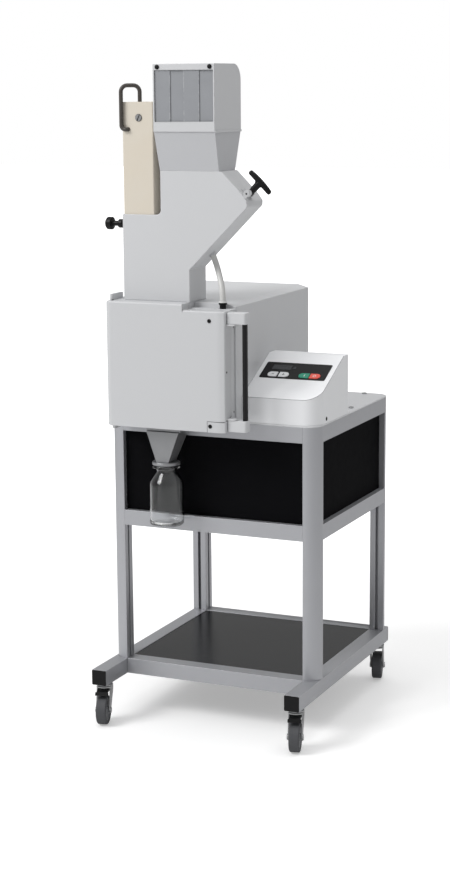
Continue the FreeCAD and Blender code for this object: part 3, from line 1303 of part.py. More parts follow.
def build_console():
    rise = math.atan2(console_top_z - console_fascia_z, console_crest_y - console_front)
    y0 = console_front
    y1 = console_rear
    left = mill_right
    right = half_w
    profile_pts = [(y0, mill_z), (y1, mill_z), (y1, console_top_z), (console_crest_y, console_top_z),
                   (y0, console_fascia_z)]
    body = slab_yz(profile_pts, left, right)
    plan = slab_xy([(left, y0), (right, y0, console_corner_r), (right, y1, console_rear_r), (left, y1)],
                   mill_z, console_top_z)
    body = body.common(plan)
    w = console_wall
    drop = w / math.cos(rise)
    inner = slab_yz([(y0 + w, mill_z - over), (y1 - w, mill_z - over), (y1 - w, console_top_z - w),
                     (console_crest_y + w * math.tan(rise / 2), console_top_z - w),
                     (y0 + w, console_fascia_z - drop + w * math.tan(rise))], left + w, right - w)
    inner = inner.common(slab_xy([(left + w, y0 + w), (right - w, y0 + w, console_corner_r - w),
                                  (right - w, y1 - w), (left + w, y1 - w)], mill_z - over, console_top_z))
    body = body.cut(inner)
    base = V(0, y0, console_fascia_z)

    def on_slope(shape):
        shape.rotate(V(0, 0, 0), V(1, 0, 0), math.degrees(rise))
        shape.translate(base)
        return shape

    spans = []
    for off_share, w_share in ((minus_off_share, minus_w_share), (plus_off_share, plus_w_share),
                               (start_off_share, start_w_share), (stop_off_share, stop_w_share)):
        xa = keypad_left + keypad_w * off_share
        spans.append((xa, xa + keypad_w * w_share))
    row = keypad_start + button_rise
    big = button_h / 2 - fit_gap * 2
    small = button_proud
    ends = [(big, small), (small, big), (big, small), (small, big)]

    def pad(k, grow, n0, n1):
        xa, xb = spans[k]
        lr, rr = ends[k]
        pts = [(xa - grow, row - grow, lr), (xb + grow, row - grow, rr),
               (xb + grow, row + button_h + grow, rr), (xa - grow, row + button_h + grow, lr)]
        return slab_xy(pts, n0, n1)

    for k in range(len(spans)):
        body = body.cut(on_slope(pad(k, button_gap, -button_pocket, over)))
    body = body.cut(rod(V(right - console_screw_h, console_screw_y, console_screw_z), V(1, 0, 0),
                        console_screw_r + seat_gap, over))
    put("console_shell", body.removeSplitter())
    sheet_pad = slab_xy(rect(keypad_left, keypad_right, keypad_start, keypad_start + keypad_h, keypad_corner_r),
                        0, keypad_t)
    for k in range(len(spans)):
        sheet_pad = sheet_pad.cut(pad(k, button_gap, -over, over))
    put("keypad_panel", on_slope(sheet_pad))
    for k, name in enumerate(("minus", "plus", "start", "stop")):
        top = keypad_t + button_proud
        put("button_" + name, on_slope(pad(k, 0, top - button_t, top)))
    d0 = keypad_left + keypad_w * display_off_share
    d1 = keypad_start + display_rise
    glass = slab_xy(rect(d0, d0 + keypad_w * display_w_share, d1, d1 + display_h, button_proud),
                    keypad_t, keypad_t + display_proud)
    l0 = keypad_left + keypad_w * lamp_off_share
    l1 = keypad_start + lamp_rise
    lamp = slab_xy(rect(l0, l0 + keypad_w * lamp_w_share, l1, l1 + lamp_h, button_proud),
                   keypad_t, keypad_t + display_proud)
    put("display", on_slope(glass), on_slope(lamp))
    normal = V(0, -math.sin(rise), math.cos(rise))
    print("slope normal %.5f %.5f %.5f" % (normal.x, normal.y, normal.z))
    fixings.append(rod(V(right - console_screw_h, console_screw_y, console_screw_z), V(1, 0, 0),
                       console_screw_r, console_screw_h))


build_stand()
build_casters()
build_chamber()
build_cover()
build_chute()
build_plunger()
build_t_handle()
build_hose()
build_door()
build_outlet()
build_console()
put("fixing_screws", *fixings)
total = boxes[0]
for b in boxes[1:]:
    total.add(b)
print("whole X %.2f..%.2f Y %.2f..%.2f Z %.2f..%.2f" % (total.XMin, total.XMax, total.YMin, total.YMax,
                                                        total.ZMin, total.ZMax))
print("nodes", len(boxes))
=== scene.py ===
import bpy
import bmesh
import json
import math
from mathutils import Matrix, Quaternion, Vector


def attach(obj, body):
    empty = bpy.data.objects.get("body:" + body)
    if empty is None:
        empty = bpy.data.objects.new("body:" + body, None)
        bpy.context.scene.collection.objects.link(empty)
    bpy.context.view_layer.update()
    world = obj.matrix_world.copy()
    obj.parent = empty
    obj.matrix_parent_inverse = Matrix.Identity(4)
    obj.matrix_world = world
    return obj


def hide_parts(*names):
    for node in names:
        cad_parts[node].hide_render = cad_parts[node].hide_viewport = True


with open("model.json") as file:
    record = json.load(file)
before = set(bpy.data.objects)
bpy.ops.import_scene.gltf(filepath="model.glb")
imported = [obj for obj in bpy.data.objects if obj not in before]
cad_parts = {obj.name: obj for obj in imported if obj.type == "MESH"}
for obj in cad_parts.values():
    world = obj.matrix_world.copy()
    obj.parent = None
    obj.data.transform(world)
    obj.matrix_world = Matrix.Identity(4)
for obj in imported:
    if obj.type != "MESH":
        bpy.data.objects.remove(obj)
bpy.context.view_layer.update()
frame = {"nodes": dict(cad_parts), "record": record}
scene = bpy.context.scene
NODES = frame["nodes"]
BODY = {n: b for b, ns in frame["record"]["behaviour"]["bodies"].items() for n in ns}
MM = 0.001
# Y of the legs' front in the frame, in millimetres
LEGS_FRONT = -206.55


def P(x, y, z):
    """A point given in the stand's millimetres, Y from the front of the legs."""
    return Vector((x * MM, (y + LEGS_FRONT) * MM, z * MM))


# Camera, solved from the photograph
CAMERA_YAW = 24.209
CAMERA_PITCH = 10.934
CAMERA_ROLL = 0.476
CAMERA_PLACE = (1.9311, -4.41555, 1.6269)
FOCAL_PIXELS = 1870.967
PHOTO_HEIGHT = 892
SENSOR = 24.0
FARTHEST = 60


def make_camera():
    yaw = math.radians(CAMERA_YAW)
    pitch = math.radians(CAMERA_PITCH)
    roll = math.radians(CAMERA_ROLL)
    up = Vector((0, 0, 1))
    ahead = Vector((-math.sin(yaw), math.cos(yaw), 0))
    side = Vector((math.cos(yaw), math.sin(yaw), 0))
    forward = ahead * math.cos(pitch) - up * math.sin(pitch)
    down = -(up * math.cos(pitch) + ahead * math.sin(pitch))
    r = side * math.cos(roll) + down * math.sin(roll)
    d = down * math.cos(roll) - side * math.sin(roll)
    turn = Matrix((r, -d, -forward)).transposed().to_4x4()
    data = bpy.data.cameras.new("camera")
    data.sensor_fit = "VERTICAL"
    data.sensor_height = SENSOR
    data.lens = FOCAL_PIXELS / PHOTO_HEIGHT * SENSOR
    data.clip_end = FARTHEST
    cam = bpy.data.objects.new("camera", data)
    scene.collection.objects.link(cam)
    cam.matrix_world = Matrix.Translation(CAMERA_PLACE) @ turn
    scene.camera = cam


make_camera()


# Materials
# The mask of edge wear, which on the strips is a painted highlight, rises between these values of its noise.
PATCH_LOW = 0.42
PATCH_HIGH = 0.62
PATCH_SCALE = 90.0
BUMP_DEPTH = 0.0003
BRUSHED = 0.03


def lin(r, g, b):
    """An eight-bit screen colour as linear RGBA."""
    out = []
    for c in (r, g, b):
        c = c / 255
        out.append(c / 12.92 if c <= 0.04045 else ((c + 0.055) / 1.055) ** 2.4)
    return (*out, 1.0)


def shade(colour, share):
    return tuple(min(1.0, max(0.0, c * share)) for c in colour[:3]) + (1.0,)


def finish(name, colour, rough, metal=0.0, vary=0.03, vary_scale=7.0, grain=0.12, grain_scale=1400.0,
           rough_vary=0.06, stretch=(1, 1, 1), spec=0.5, wear_and_highlight=0.0, wear_and_highlight_to=None, coat=0.0, warm=None,
           through=0.0, ior=1.45):
    """A coat of broad tint, fine grain and, on faces marked as edges, a patchy change of tint: wear on most
    finishes, a painted highlight on the strips.
    """
    m = bpy.data.materials.new(name)
    m.use_nodes = True
    nt = m.node_tree
    bsdf = nt.nodes["Principled BSDF"]
    bsdf.inputs["Metallic"].default_value = metal
    bsdf.inputs["Specular IOR Level"].default_value = spec
    bsdf.inputs["Coat Weight"].default_value = coat
    bsdf.inputs["Coat Roughness"].default_value = 0.2
    bsdf.inputs["Transmission Weight"].default_value = through
    bsdf.inputs["IOR"].default_value = ior
    tc = nt.nodes.new("ShaderNodeTexCoord")
    place = nt.nodes.new("ShaderNodeMapping")
    place.inputs["Scale"].default_value = stretch
    nt.links.new(tc.outputs["Object"], place.inputs["Vector"])

    def noise(scale, detail, source):
        n = nt.nodes.new("ShaderNodeTexNoise")
        n.inputs["Scale"].default_value = scale
        n.inputs["Detail"].default_value = detail
        nt.links.new(source, n.inputs["Vector"])
        return n

    broad = noise(vary_scale, 3.0, tc.outputs["Object"])
    mix = nt.nodes.new("ShaderNodeMix")
    mix.data_type = "RGBA"
    mix.inputs["A"].default_value = shade(colour, 1 - vary)
    mix.inputs["B"].default_value = shade(warm or colour, 1 + vary)
    nt.links.new(broad.outputs["Fac"], mix.inputs["Factor"])
    tint = mix.outputs["Result"]
    fine = noise(grain_scale, 2.0, place.outputs["Vector"])
    # On faces marked as edges the tint moves in patches towards the second colour: wear on most finishes, a
    # painted highlight on the strips.
    if wear_and_highlight > 0:
        edge = nt.nodes.new("ShaderNodeAttribute")
        edge.attribute_name = "edge"
        patch = noise(PATCH_SCALE, 4.0, tc.outputs["Object"])
        ramp = nt.nodes.new("ShaderNodeMapRange")
        ramp.inputs["From Min"].default_value = PATCH_LOW
        ramp.inputs["From Max"].default_value = PATCH_HIGH
        ramp.inputs["To Max"].default_value = wear_and_highlight
        nt.links.new(patch.outputs["Fac"], ramp.inputs["Value"])
        amount = nt.nodes.new("ShaderNodeMath")
        amount.operation = "MULTIPLY"
        nt.links.new(edge.outputs["Fac"], amount.inputs[0])
        nt.links.new(ramp.outputs["Result"], amount.inputs[1])
        wear_and_highlight_mix = nt.nodes.new("ShaderNodeMix")
        wear_and_highlight_mix.data_type = "RGBA"
        wear_and_highlight_mix.inputs["B"].default_value = wear_and_highlight_to or shade(colour, 1.3)
        nt.links.new(amount.outputs["Value"], wear_and_highlight_mix.inputs["Factor"])
        nt.links.new(tint, wear_and_highlight_mix.inputs["A"])
        tint = wear_and_highlight_mix.outputs["Result"]
    nt.links.new(tint, bsdf.inputs["Base Color"])
    gloss = nt.nodes.new("ShaderNodeMapRange")
    gloss.inputs["To Min"].default_value = max(0.0, rough - rough_vary)
    gloss.inputs["To Max"].default_value = min(1.0, rough + rough_vary)
    medium = noise(vary_scale * 9, 4.0, place.outputs["Vector"])
    nt.links.new(medium.outputs["Fac"], gloss.inputs["Value"])
    nt.links.new(gloss.outputs["Result"], bsdf.inputs["Roughness"])
    if grain > 0:
        bump = nt.nodes.new("ShaderNodeBump")
        bump.inputs["Strength"].default_value = grain
        bump.inputs["Distance"].default_value = BUMP_DEPTH
        nt.links.new(fine.outputs["Fac"], bump.inputs["Height"])
        nt.links.new(bump.outputs["Normal"], bsdf.inputs["Normal"])
    return m


def anodised(axis, stretch):
    """Aluminium that is brushed along one axis."""
    return finish("anodised_" + axis, lin(178, 179, 183), 0.38, metal=0.55, vary=0.03, grain=0.16,
                  grain_scale=1500, stretch=stretch, wear_and_highlight=0.5, wear_and_highlight_to=lin(206, 207, 210))


def powder_coat(name, colour, worn):
    return finish(name, colour, 0.42, vary=0.012, vary_scale=4, grain=0.22, grain_scale=1100,
                  rough_vary=0.05, wear_and_highlight=0.25, wear_and_highlight_to=worn)


M = {
    "alu_x": anodised("x", (BRUSHED, 1, 1)),
    "alu_y": anodised("y", (1, BRUSHED, 1)),
    "alu_z": anodised("z", (1, 1, BRUSHED)),
    "coat": powder_coat("powder_coat", lin(203, 204, 206), lin(224, 224, 225)),
    # A darker copy of the powder coat: painted shade on the hopper funnel, whose front faces downwards.
    "coat_shade": powder_coat("powder_coat_painted_shade", lin(190, 191, 194), lin(216, 216, 218)),
    "coat_door": powder_coat("powder_coat_door", lin(201, 202, 204), lin(238, 238, 238)),
    "console": finish("console_coat", lin(236, 237, 239), 0.45, vary=0.015, vary_scale=6, grain=0.2,
                      grain_scale=1200, rough_vary=0.05, wear_and_highlight=0.2, wear_and_highlight_to=lin(236, 236, 238)),
    "table": finish("table_coat", lin(216, 217, 219), 0.4, vary=0.015, vary_scale=5, grain=0.15,
                    grain_scale=1300, wear_and_highlight=0.4, wear_and_highlight_to=lin(238, 238, 240)),
    "panel": finish("black_panel", lin(14, 14, 16), 0.7, vary=0.12, vary_scale=5, grain=0.12,
                    grain_scale=900, spec=0.03, rough_vary=0.08),
    "shelf": finish("shelf_coat", lin(15, 16, 18), 0.24, vary=0.05, vary_scale=6, grain=0.0,
                    grain_scale=1000, spec=0.22, wear_and_highlight=0.4, wear_and_highlight_to=lin(100, 102, 105)),
    "black": finish("black_plastic", lin(15, 15, 16), 0.4, vary=0.15, vary_scale=25, grain=0.3,
                    grain_scale=1500, spec=0.25, wear_and_highlight=0.3, wear_and_highlight_to=lin(52, 52, 54)),
    "grip": finish("grip_plastic", lin(18, 18, 20), 0.45, vary=0.15, vary_scale=25, grain=0.5,
                   grain_scale=1200, spec=0.35, wear_and_highlight=0.3, wear_and_highlight_to=lin(50, 50, 52)),
    "tread": finish("tread_rubber", lin(76, 77, 80), 0.6, vary=0.1, vary_scale=60, grain=0.5,
                    grain_scale=700, rough_vary=0.1),
    "hub": finish("hub_plastic", lin(120, 121, 124), 0.45, vary=0.05, vary_scale=40, grain=0.2),
    "zinc": finish("zinc_plate", lin(176, 177, 178), 0.3, metal=0.85, vary=0.08, vary_scale=60,
                   grain=0.15, grain_scale=500, rough_vary=0.1, wear_and_highlight=0.4, wear_and_highlight_to=lin(215, 215, 216)),
    "steel": finish("machined_steel", lin(186, 187, 188), 0.28, metal=0.9, vary=0.05, vary_scale=30,
                    grain=0.12, grain_scale=1800, rough_vary=0.08),
    "hard": finish("hard_steel", lin(140, 141, 143), 0.25, metal=0.95, vary=0.05, vary_scale=30,
                   grain=0.1, grain_scale=1500),
    "motor": finish("motor_paint", lin(96, 100, 104), 0.45, vary=0.06, grain=0.2),
    "ivory": finish("ivory_plastic", lin(218, 212, 200), 0.36, vary=0.02, vary_scale=9,
                    warm=lin(212, 202, 186), grain=0.12, grain_scale=900, wear_and_highlight=0.3,
                    wear_and_highlight_to=lin(238, 232, 220)),
    "handle": finish("handle_coat", lin(72, 68, 64), 0.4, vary=0.1, vary_scale=40, grain=0.25,
                     grain_scale=900, spec=0.45),
    "glass": finish("clear_glass", lin(252, 253, 253), 0.004, vary=0.002, grain=0.0, rough_vary=0.003,
                    through=1.0, ior=1.36, spec=0.5),
    # The strips' marked rims turn lighter in patches: a painted highlight along their edges.
    "strips": finish("strip_rubber", lin(150, 152, 156), 0.24, vary=0.07, vary_scale=24, grain=0.1,
                     grain_scale=500, stretch=(1, 1, 0.2), spec=0.5, wear_and_highlight=0.6,
                     wear_and_highlight_to=lin(186, 188, 191)),
    "seal": finish("seal_rubber", lin(26, 26, 27), 0.6, vary=0.1, vary_scale=50, grain=0.4,
                   grain_scale=800),
    "hose": finish("hose_plastic", lin(205, 205, 203), 0.3, vary=0.04, vary_scale=40, grain=0.1,
                   grain_scale=900, spec=0.5),
    "keypad": finish("keypad_foil", lin(12, 12, 14), 0.3, vary=0.1, vary_scale=20, grain=0.12,
                     grain_scale=1800, spec=0.2),
    "key_grey": finish("key_grey", lin(226, 227, 229), 0.38, vary=0.03, vary_scale=40, grain=0.15),
    "key_green": finish("key_green", lin(14, 142, 112), 0.36, vary=0.05, vary_scale=40, grain=0.15),
    "key_red": finish("key_red", lin(226, 84, 68), 0.36, vary=0.05, vary_scale=40, grain=0.15),
    "display": finish("display_glass", lin(34, 38, 42), 0.12, vary=0.1, vary_scale=40, grain=0.03,
                      spec=0.5, coat=0.3),
    "funnel": finish("drawn_steel", lin(152, 153, 155), 0.34, metal=0.65, vary=0.06, vary_scale=30,
                     grain=0.12, grain_scale=1500, stretch=(1, 1, 0.1), rough_vary=0.08),
    "light": finish("light_plastic", lin(190, 191, 193), 0.4, vary=0.03, vary_scale=40, grain=0.15),
    "seam": finish("seam_shadow", lin(58, 59, 61), 0.6, vary=0.05, grain=0.1, spec=0.2),
    "mark": finish("printed_mark", lin(40, 40, 42), 0.5, vary=0.05, grain=0.1),
    "white": finish("white_plastic", lin(226, 226, 224), 0.4, vary=0.03, vary_scale=40, grain=0.15),
}


# Mesh helpers
SAME_PLACE = 2e-6
TINY = 1e-9
STRAIGHT = 0.01
RUN_SHARE = 0.48
ALONG = 0.9


def settle(name, bm, mats, node, sharp=50):
    """Turns a bmesh into a piece that rides on its node's body; large faces keep their own normals."""
    body = BODY[node]
    mats = mats if isinstance(mats, (list, tuple)) else [mats]
    for e in bm.edges:
        if len(e.link_faces) == 2:
            e.smooth = e.calc_face_angle(0) < math.radians(sharp)
    for f in bm.faces:
        f.smooth = True
    mesh = bpy.data.meshes.new(name)
    bm.to_mesh(mesh)
    bm.free()
    ob = bpy.data.objects.new(name, mesh)
    scene.collection.objects.link(ob)
    for m in mats:
        mesh.materials.append(M[m] if isinstance(m, str) else m)
    mod = ob.modifiers.new("normals", "WEIGHTED_NORMAL")
    mod.keep_sharp = True
    mod.weight = 60
    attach(ob, body)
    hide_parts(node)
    return ob


def sharp_edges(bm, angle):
    limit = math.radians(angle)
    return [e for e in bm.edges if len(e.link_faces) == 2 and e.calc_face_angle(0) > limit]


def soften(bm, width, segments, edges):
    """Rounds the edges and marks their new faces for wear."""
    layer = bm.faces.layers.float.get("edge") or bm.faces.layers.float.new("edge")
    if not edges:
        return
    made = bmesh.ops.bevel(bm, geom=edges, offset=width, offset_type="OFFSET", segments=segments, profile=0.5,
                           affect="EDGES", clamp_overlap=False, loop_slide=True, miter_outer="ARC")
    for f in made["faces"]:
        f[layer] = 1.0


def islands(bm):
    """The mesh's vertices, sorted into connected parts."""
    seen = set()
    out = []
    for v in bm.verts:
        if v in seen:
            continue
        stack = [v]
        seen.add(v)
        part = []
        while stack:
            a = stack.pop()
            part.append(a)
            for e in a.link_edges:
                b = e.other_vert(a)
                if b not in seen:
                    seen.add(b)
                    stack.append(b)
        out.append(part)
    return out


def from_cad(node, flat=0.7):
    """The node's own mesh, with the faces of a plane joined; where flat is 0 they stay triangles,
    since a softened edge can close the hole in a joined face."""
    bm = bmesh.new()
    bm.from_mesh(NODES[node].data)
    bmesh.ops.remove_doubles(bm, verts=bm.verts, dist=SAME_PLACE)
    if flat:
        bmesh.ops.dissolve_limit(bm, angle_limit=math.radians(flat), verts=bm.verts, edges=bm.edges)
    return bm


def refine(node, mat, width, segments=2, angle=28, flat=0.7, only=None):
    """The CAD node's own form with softened edges and a finish, or one finish for each long axis;
    only says which edges are softened."""
    bm = from_cad(node, flat)
    edges = sharp_edges(bm, angle)
    if only:
        edges = [e for e in edges if only((e.verts[0].co + e.verts[1].co) / 2)]
    soften(bm, width, segments, edges)
    if isinstance(mat, list):
        for part in islands(bm):
            size = [max(v.co[i] for v in part) - min(v.co[i] for v in part) for i in range(3)]
            longest = size.index(max(size))
            for f in {f for v in part for f in v.link_faces}:
                f.material_index = longest
    return settle(node + "_form", bm, mat, node)


def corner_line(points, steps=6, closed=True):
    """Corners given as (a, b, radius) become short arcs."""
    count = len(points)
    out = []
    for i, p in enumerate(points):
        r = p[2] if len(p) > 2 else 0
        here = Vector((p[0], p[1]))
        if r <= 0 or (not closed and i in (0, count - 1)):
            out.append(here)
            continue
        back = Vector(points[i - 1][:2]) - here
        ahead = Vector(points[(i + 1) % count][:2]) - here
        if back.length < TINY or ahead.length < TINY:
            out.append(here)
            continue
        lb, la = back.length, ahead.length
        back.normalize()
        ahead.normalize()
        half = math.acos(max(-1, min(1, back.dot(ahead)))) / 2
        if half > math.pi / 2 - STRAIGHT:
            out.append(here)
            continue
        run = min(r / math.tan(half), lb * RUN_SHARE, la * RUN_SHARE)
        r = run * math.tan(half)
        centre = here + (back + ahead).normalized() * (r / math.sin(half))
        a, b = here + back * run - centre, here + ahead * run - centre
        total = a.angle_signed(b)
        for k in range(steps + 1):
            t = -total * k / steps
            out.append(centre + Vector((a.x * math.cos(t) - a.y * math.sin(t),
                                        a.x * math.sin(t) + a.y * math.cos(t))))
    return out


def axes_for(axis):
    """Two directions square to an axis, and the axis."""
    w = Vector(axis).normalized()
    u = w.orthogonal().normalized()
    if abs(w.x) > ALONG:
        u = Vector((0, 1, 0))
    elif max(abs(w.y), abs(w.z)) > ALONG:
        u = Vector((1, 0, 0))
    u = (u - w * u.dot(w)).normalized()
    return u, w.cross(u), w


def turn_into(bm, origin, axis, points, steps=48, round_steps=4, closed=False):
    """Revolves (radius, height, fillet) corners, in millimetres, about an axis."""
    u, v, w = axes_for(axis)
    line = corner_line([(p[0], p[1], p[2] if len(p) > 2 else 0) for p in points], round_steps, closed)
    rings = []
    for p in line:
        if p.x < 1e-6:
            rings.append([bm.verts.new(origin + w * p.y * MM)])
            continue
        ring = []
        for k in range(steps):
            t = 2 * math.pi * k / steps
            ring.append(bm.verts.new(origin + w * p.y * MM + (u * math.cos(t) + v * math.sin(t)) * p.x * MM))
        rings.append(ring)
    pairs = list(zip(rings, rings[1:])) + ([(rings[-1], rings[0])] if closed else [])
    for a, b in pairs:
        for k in range(steps):
            j = (k + 1) % steps
            if len(a) == 1 and len(b) == 1:
                continue
            if len(a) == 1:
                bm.faces.new((a[0], b[j], b[k]))
            elif len(b) == 1:
                bm.faces.new((a[k], a[j], b[0]))
            else:
                bm.faces.new((a[k], a[j], b[j], b[k]))
    bmesh.ops.recalc_face_normals(bm, faces=bm.faces)


def lathe(name, origin, axis, points, mat, node, steps=48, round_steps=4, closed=False):
    bm = bmesh.new()
    turn_into(bm, origin, axis, points, steps, round_steps, closed)
    return settle(name, bm, mat, node)


def prism_into(bm, outline, c0, c1, place, edge=0.8, steps=6, segments=2):
    """Extrudes a rounded outline in millimetres between c0 and c1 and softens its end edges."""
    line = corner_line(outline, steps)
    low = [bm.verts.new(place(p.x, p.y, c0)) for p in line]
    high = [bm.verts.new(place(p.x, p.y, c1)) for p in line]
    f0 = bm.faces.new(low)
    f1 = bm.faces.new(high)
    n = len(line)
    sides = [bm.faces.new((low[k], low[(k + 1) % n], high[(k + 1) % n], high[k])) for k in range(n)]
    bmesh.ops.recalc_face_normals(bm, faces=[f0, f1] + sides)
    if edge > 0:
        rim = list({e for f in (f0, f1) for e in f.edges})
        soften(bm, edge * MM, segments, rim)


def prism(name, outline, c0, c1, place, mat, node, edge=0.8):
    bm = bmesh.new()
    prism_into(bm, outline, c0, c1, place, edge)
    return settle(name, bm, mat, node)


def rect(a0, a1, b0, b1, r):
    return [(a0, b0, r), (a1, b0, r), (a1, b1, r), (a0, b1, r)]


def sweep_into(bm, centre, radius, segs):
    """A round rod along points; radius may be one number or one for each point."""
    count = len(centre)
    radii = [radius] * count if not hasattr(radius, "__len__") else radius
    tangents = []
    for i in range(count):
        a = centre[max(i - 1, 0)]
        b = centre[min(i + 1, count - 1)]
        tangents.append((b - a).normalized())
    u = tangents[0].orthogonal().normalized()
    rings = []
    for i in range(count):
        t = tangents[i]
        u = (u - t * u.dot(t)).normalized()
        v = t.cross(u)
        ring = []
        for k in range(segs):
            angle = 2 * math.pi * k / segs
            ring.append(bm.verts.new(centre[i] + (u * math.cos(angle) + v * math.sin(angle)) * radii[i] * MM))
        rings.append(ring)
    for a, b in zip(rings, rings[1:]):
        for k in range(segs):
            j = (k + 1) % segs
            bm.faces.new((a[k], a[j], b[j], b[k]))
    bm.faces.new(rings[0])
    bm.faces.new(rings[-1])
    bmesh.ops.recalc_face_normals(bm, faces=bm.faces)


def line_points(corners, steps):
    """3-D corners (point, radius in millimetres) to points along runs and arcs of a rigid rod."""
    out = [corners[0][0]]
    for i in range(1, len(corners) - 1):
        here, r = corners[i]
        back = (corners[i - 1][0] - here).normalized()
        ahead = (corners[i + 1][0] - here).normalized()
        half = math.acos(max(-1, min(1, back.dot(ahead)))) / 2
        run = r * MM / math.tan(half)
        centre = here + (back + ahead).normalized() * (r * MM / math.sin(half))
        a, b = here + back * run - centre, here + ahead * run - centre
        turn = a.rotation_difference(b)
        for k in range(steps + 1):
            out.append(centre + Quaternion().slerp(turn, k / steps) @ a)
    out.append(corners[-1][0])
    return out


def screw_into(bm, origin, axis, r, h, socket=0.0, depth=1.2, dome=0.6, steps=48):
    """A round head with softened rim and, if wanted, a hexagon socket."""
    u, v, w = axes_for(axis)
    half_flat = math.pi / 6

    def ring(radius, height):
        out = []
        for k in range(steps):
            t = 2 * math.pi * k / steps
            spoke = u * math.cos(t) + v * math.sin(t)
            out.append(bm.verts.new(origin + spoke * radius * MM + w * height * MM))
        return out

    def hexagon(radius, height):
        out = []
        for k in range(steps):
            t = 2 * math.pi * k / steps
            q = (t + half_flat) % (2 * half_flat) - half_flat
            d = radius * math.cos(half_flat) / math.cos(q)
            out.append(bm.verts.new(origin + (u * math.cos(t) + v * math.sin(t)) * d * MM + w * height * MM))
        return out

    rings = [ring(r, 0), ring(r, h - dome)]
    arcs = 4
    for k in range(1, arcs + 1):
        t = k / arcs * math.pi / 2
        rings.append(ring(r - dome * (1 - math.cos(t)), h - dome + dome * math.sin(t)))
    if socket > 0:
        rings += [ring(socket * 1.12, h), hexagon(socket, h - 0.15), hexagon(socket * 0.98, h - depth)]
    top = bm.verts.new(origin + w * (h - (depth if socket > 0 else -dome * 0.2)) * MM)
    for a, b in zip(rings, rings[1:]):
        for k in range(steps):
            j = (k + 1) % steps
            bm.faces.new((a[k], a[j], b[j], b[k]))
    for k in range(steps):
        bm.faces.new((rings[-1][k], rings[-1][(k + 1) % steps], top))
    bm.faces.new(rings[0])
    bmesh.ops.recalc_face_normals(bm, faces=bm.faces)


# Hose
HOSE_R = 0.0075


def make_hose():
    """A round hose that hangs in a slight bow between its two glands."""
    route = [(0.01314, -0.209658, 1.211459), (0.022561, -0.212983, 1.192987), (0.04078, -0.232917, 1.161494),
             (0.057, -0.25285, 1.130), (0.057, -0.25285, 1.106)]
    curve = bpy.data.curves.new("suction_hose", "CURVE")
    curve.dimensions = "3D"
    curve.bevel_depth = HOSE_R
    curve.bevel_resolution = 8
    curve.resolution_u = 24
    curve.use_fill_caps = True
    spline = curve.splines.new("NURBS")
    spline.points.add(len(route) - 1)
    for point, co in zip(spline.points, route):
        point.co = (*co, 1.0)
    spline.use_endpoint_u = True
    spline.order_u = 3
    curve.materials.append(M["hose"])
    hose = bpy.data.objects.new("suction_hose", curve)
    scene.collection.objects.link(hose)
    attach(hose, "mill_and_stand")
    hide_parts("hose")


make_hose()


# Stand
def make_stand():
    alu = ["alu_x", "alu_y", "alu_z"]
    refine("frame_legs", alu, 0.0006)
    refine("base_rails", alu, 0.0006)
    refine("table_rails", alu, 0.0006)
    refine("rail_end_caps", "black", 0.0008)
    refine("infill_panels", "panel", 0.0008)
    refine("shelf_panel", "shelf", 0.0010)
    refine("table_top", "table", 0.0008)


make_stand()

# Casters
TURN = math.radians(15.0)
TRAIL = 21.0
CASTER_X = 268
CASTER_FRONT = -91.4
CASTER_REAR = 504.5
WHEEL_R = 37.5
TREAD = [(27.5, -13.2, 0.5), (34.5, -13.4, 1.5), (37.5, -11.4, 2.5), (37.5, 11.4, 2.5), (34.5, 13.4, 1.5),
         (27.5, 13.2, 0.5), (27.2, 0)]
HUB = [(4.3, -13.4, 0.5), (10, -13.4, 1.0), (11, -9.0, 1.5), (22, -9.5, 1.5), (27.6, -12.8, 1.0),
       (27.6, 12.8, 1.0), (22, 9.5, 1.5), (11, 9.0, 1.5), (10, 13.4, 1.0), (4.3, 13.4, 0.5)]


def make_casters():
    """Wheels and forks; way says to which side of its swivel the wheel trails."""
    axle = Vector((math.cos(TURN), math.sin(TURN), 0))
    for row, y, way in (("front", CASTER_FRONT, -1), ("rear", CASTER_REAR, 1)):
        for side, x in (("left", -CASTER_X), ("right", CASTER_X)):
            tag = row + "_" + side
            wheel = "caster_wheel_" + tag
            centre = P(x - math.sin(TURN) * TRAIL * way, y + math.cos(TURN) * TRAIL * way, WHEEL_R)
            lathe("tread_" + tag, centre, axle, TREAD, "tread", wheel, steps=72, closed=True)
            lathe("hub_" + tag, centre, axle, HUB, "hub", wheel, steps=64, closed=True)
            refine("caster_fork_" + tag, "zinc", 0.0006, angle=35, flat=0)
            if row == "front":
                refine("brake_pedal_" + side, "black", 0.0007, angle=35)
    refine("caster_heads", "zinc", 0.0005, angle=40)


make_casters()

# Mill body. Ranges are in the stand's millimetres, or in the frame's metres where they end in _M.
SHAFT_X = (-204, -122)
SHAFT_Y = (-56, 33)
VENTS_X = (-215, 60)
VENTS_FROM_Y = 446
VENTS_Z_M = (0.83, 1.075)
KEYPAD_X_M = (0.110, 0.265)
KEYPAD_Y_M = (-0.135, -0.095)


def outside_shaft(c):
    """Not an edge of the plunger's shaft, which stays sharp."""
    in_x = P(SHAFT_X[0], 0, 0).x < c.x < P(SHAFT_X[1], 0, 0).x
    in_y = P(0, SHAFT_Y[0], 0).y < c.y < P(0, SHAFT_Y[1], 0).y
    return not (in_x and in_y)


def outside_vents(c):
    """Not an edge of the rear face's slots and inlet opening, which stay sharp."""
    in_x = P(VENTS_X[0], 0, 0).x < c.x < P(VENTS_X[1], 0, 0).x
    in_z = VENTS_Z_M[0] < c.z < VENTS_Z_M[1]
    return not (c.y > P(0, VENTS_FROM_Y, 0).y and in_x and in_z)


def outside_keypad(c):
    """Not an edge in the keypad's part of the console, where they stay sharp."""
    in_x = KEYPAD_X_M[0] < c.x < KEYPAD_X_M[1]
    in_y = KEYPAD_Y_M[0] < c.y < KEYPAD_Y_M[1]
    return not (in_x and in_y)


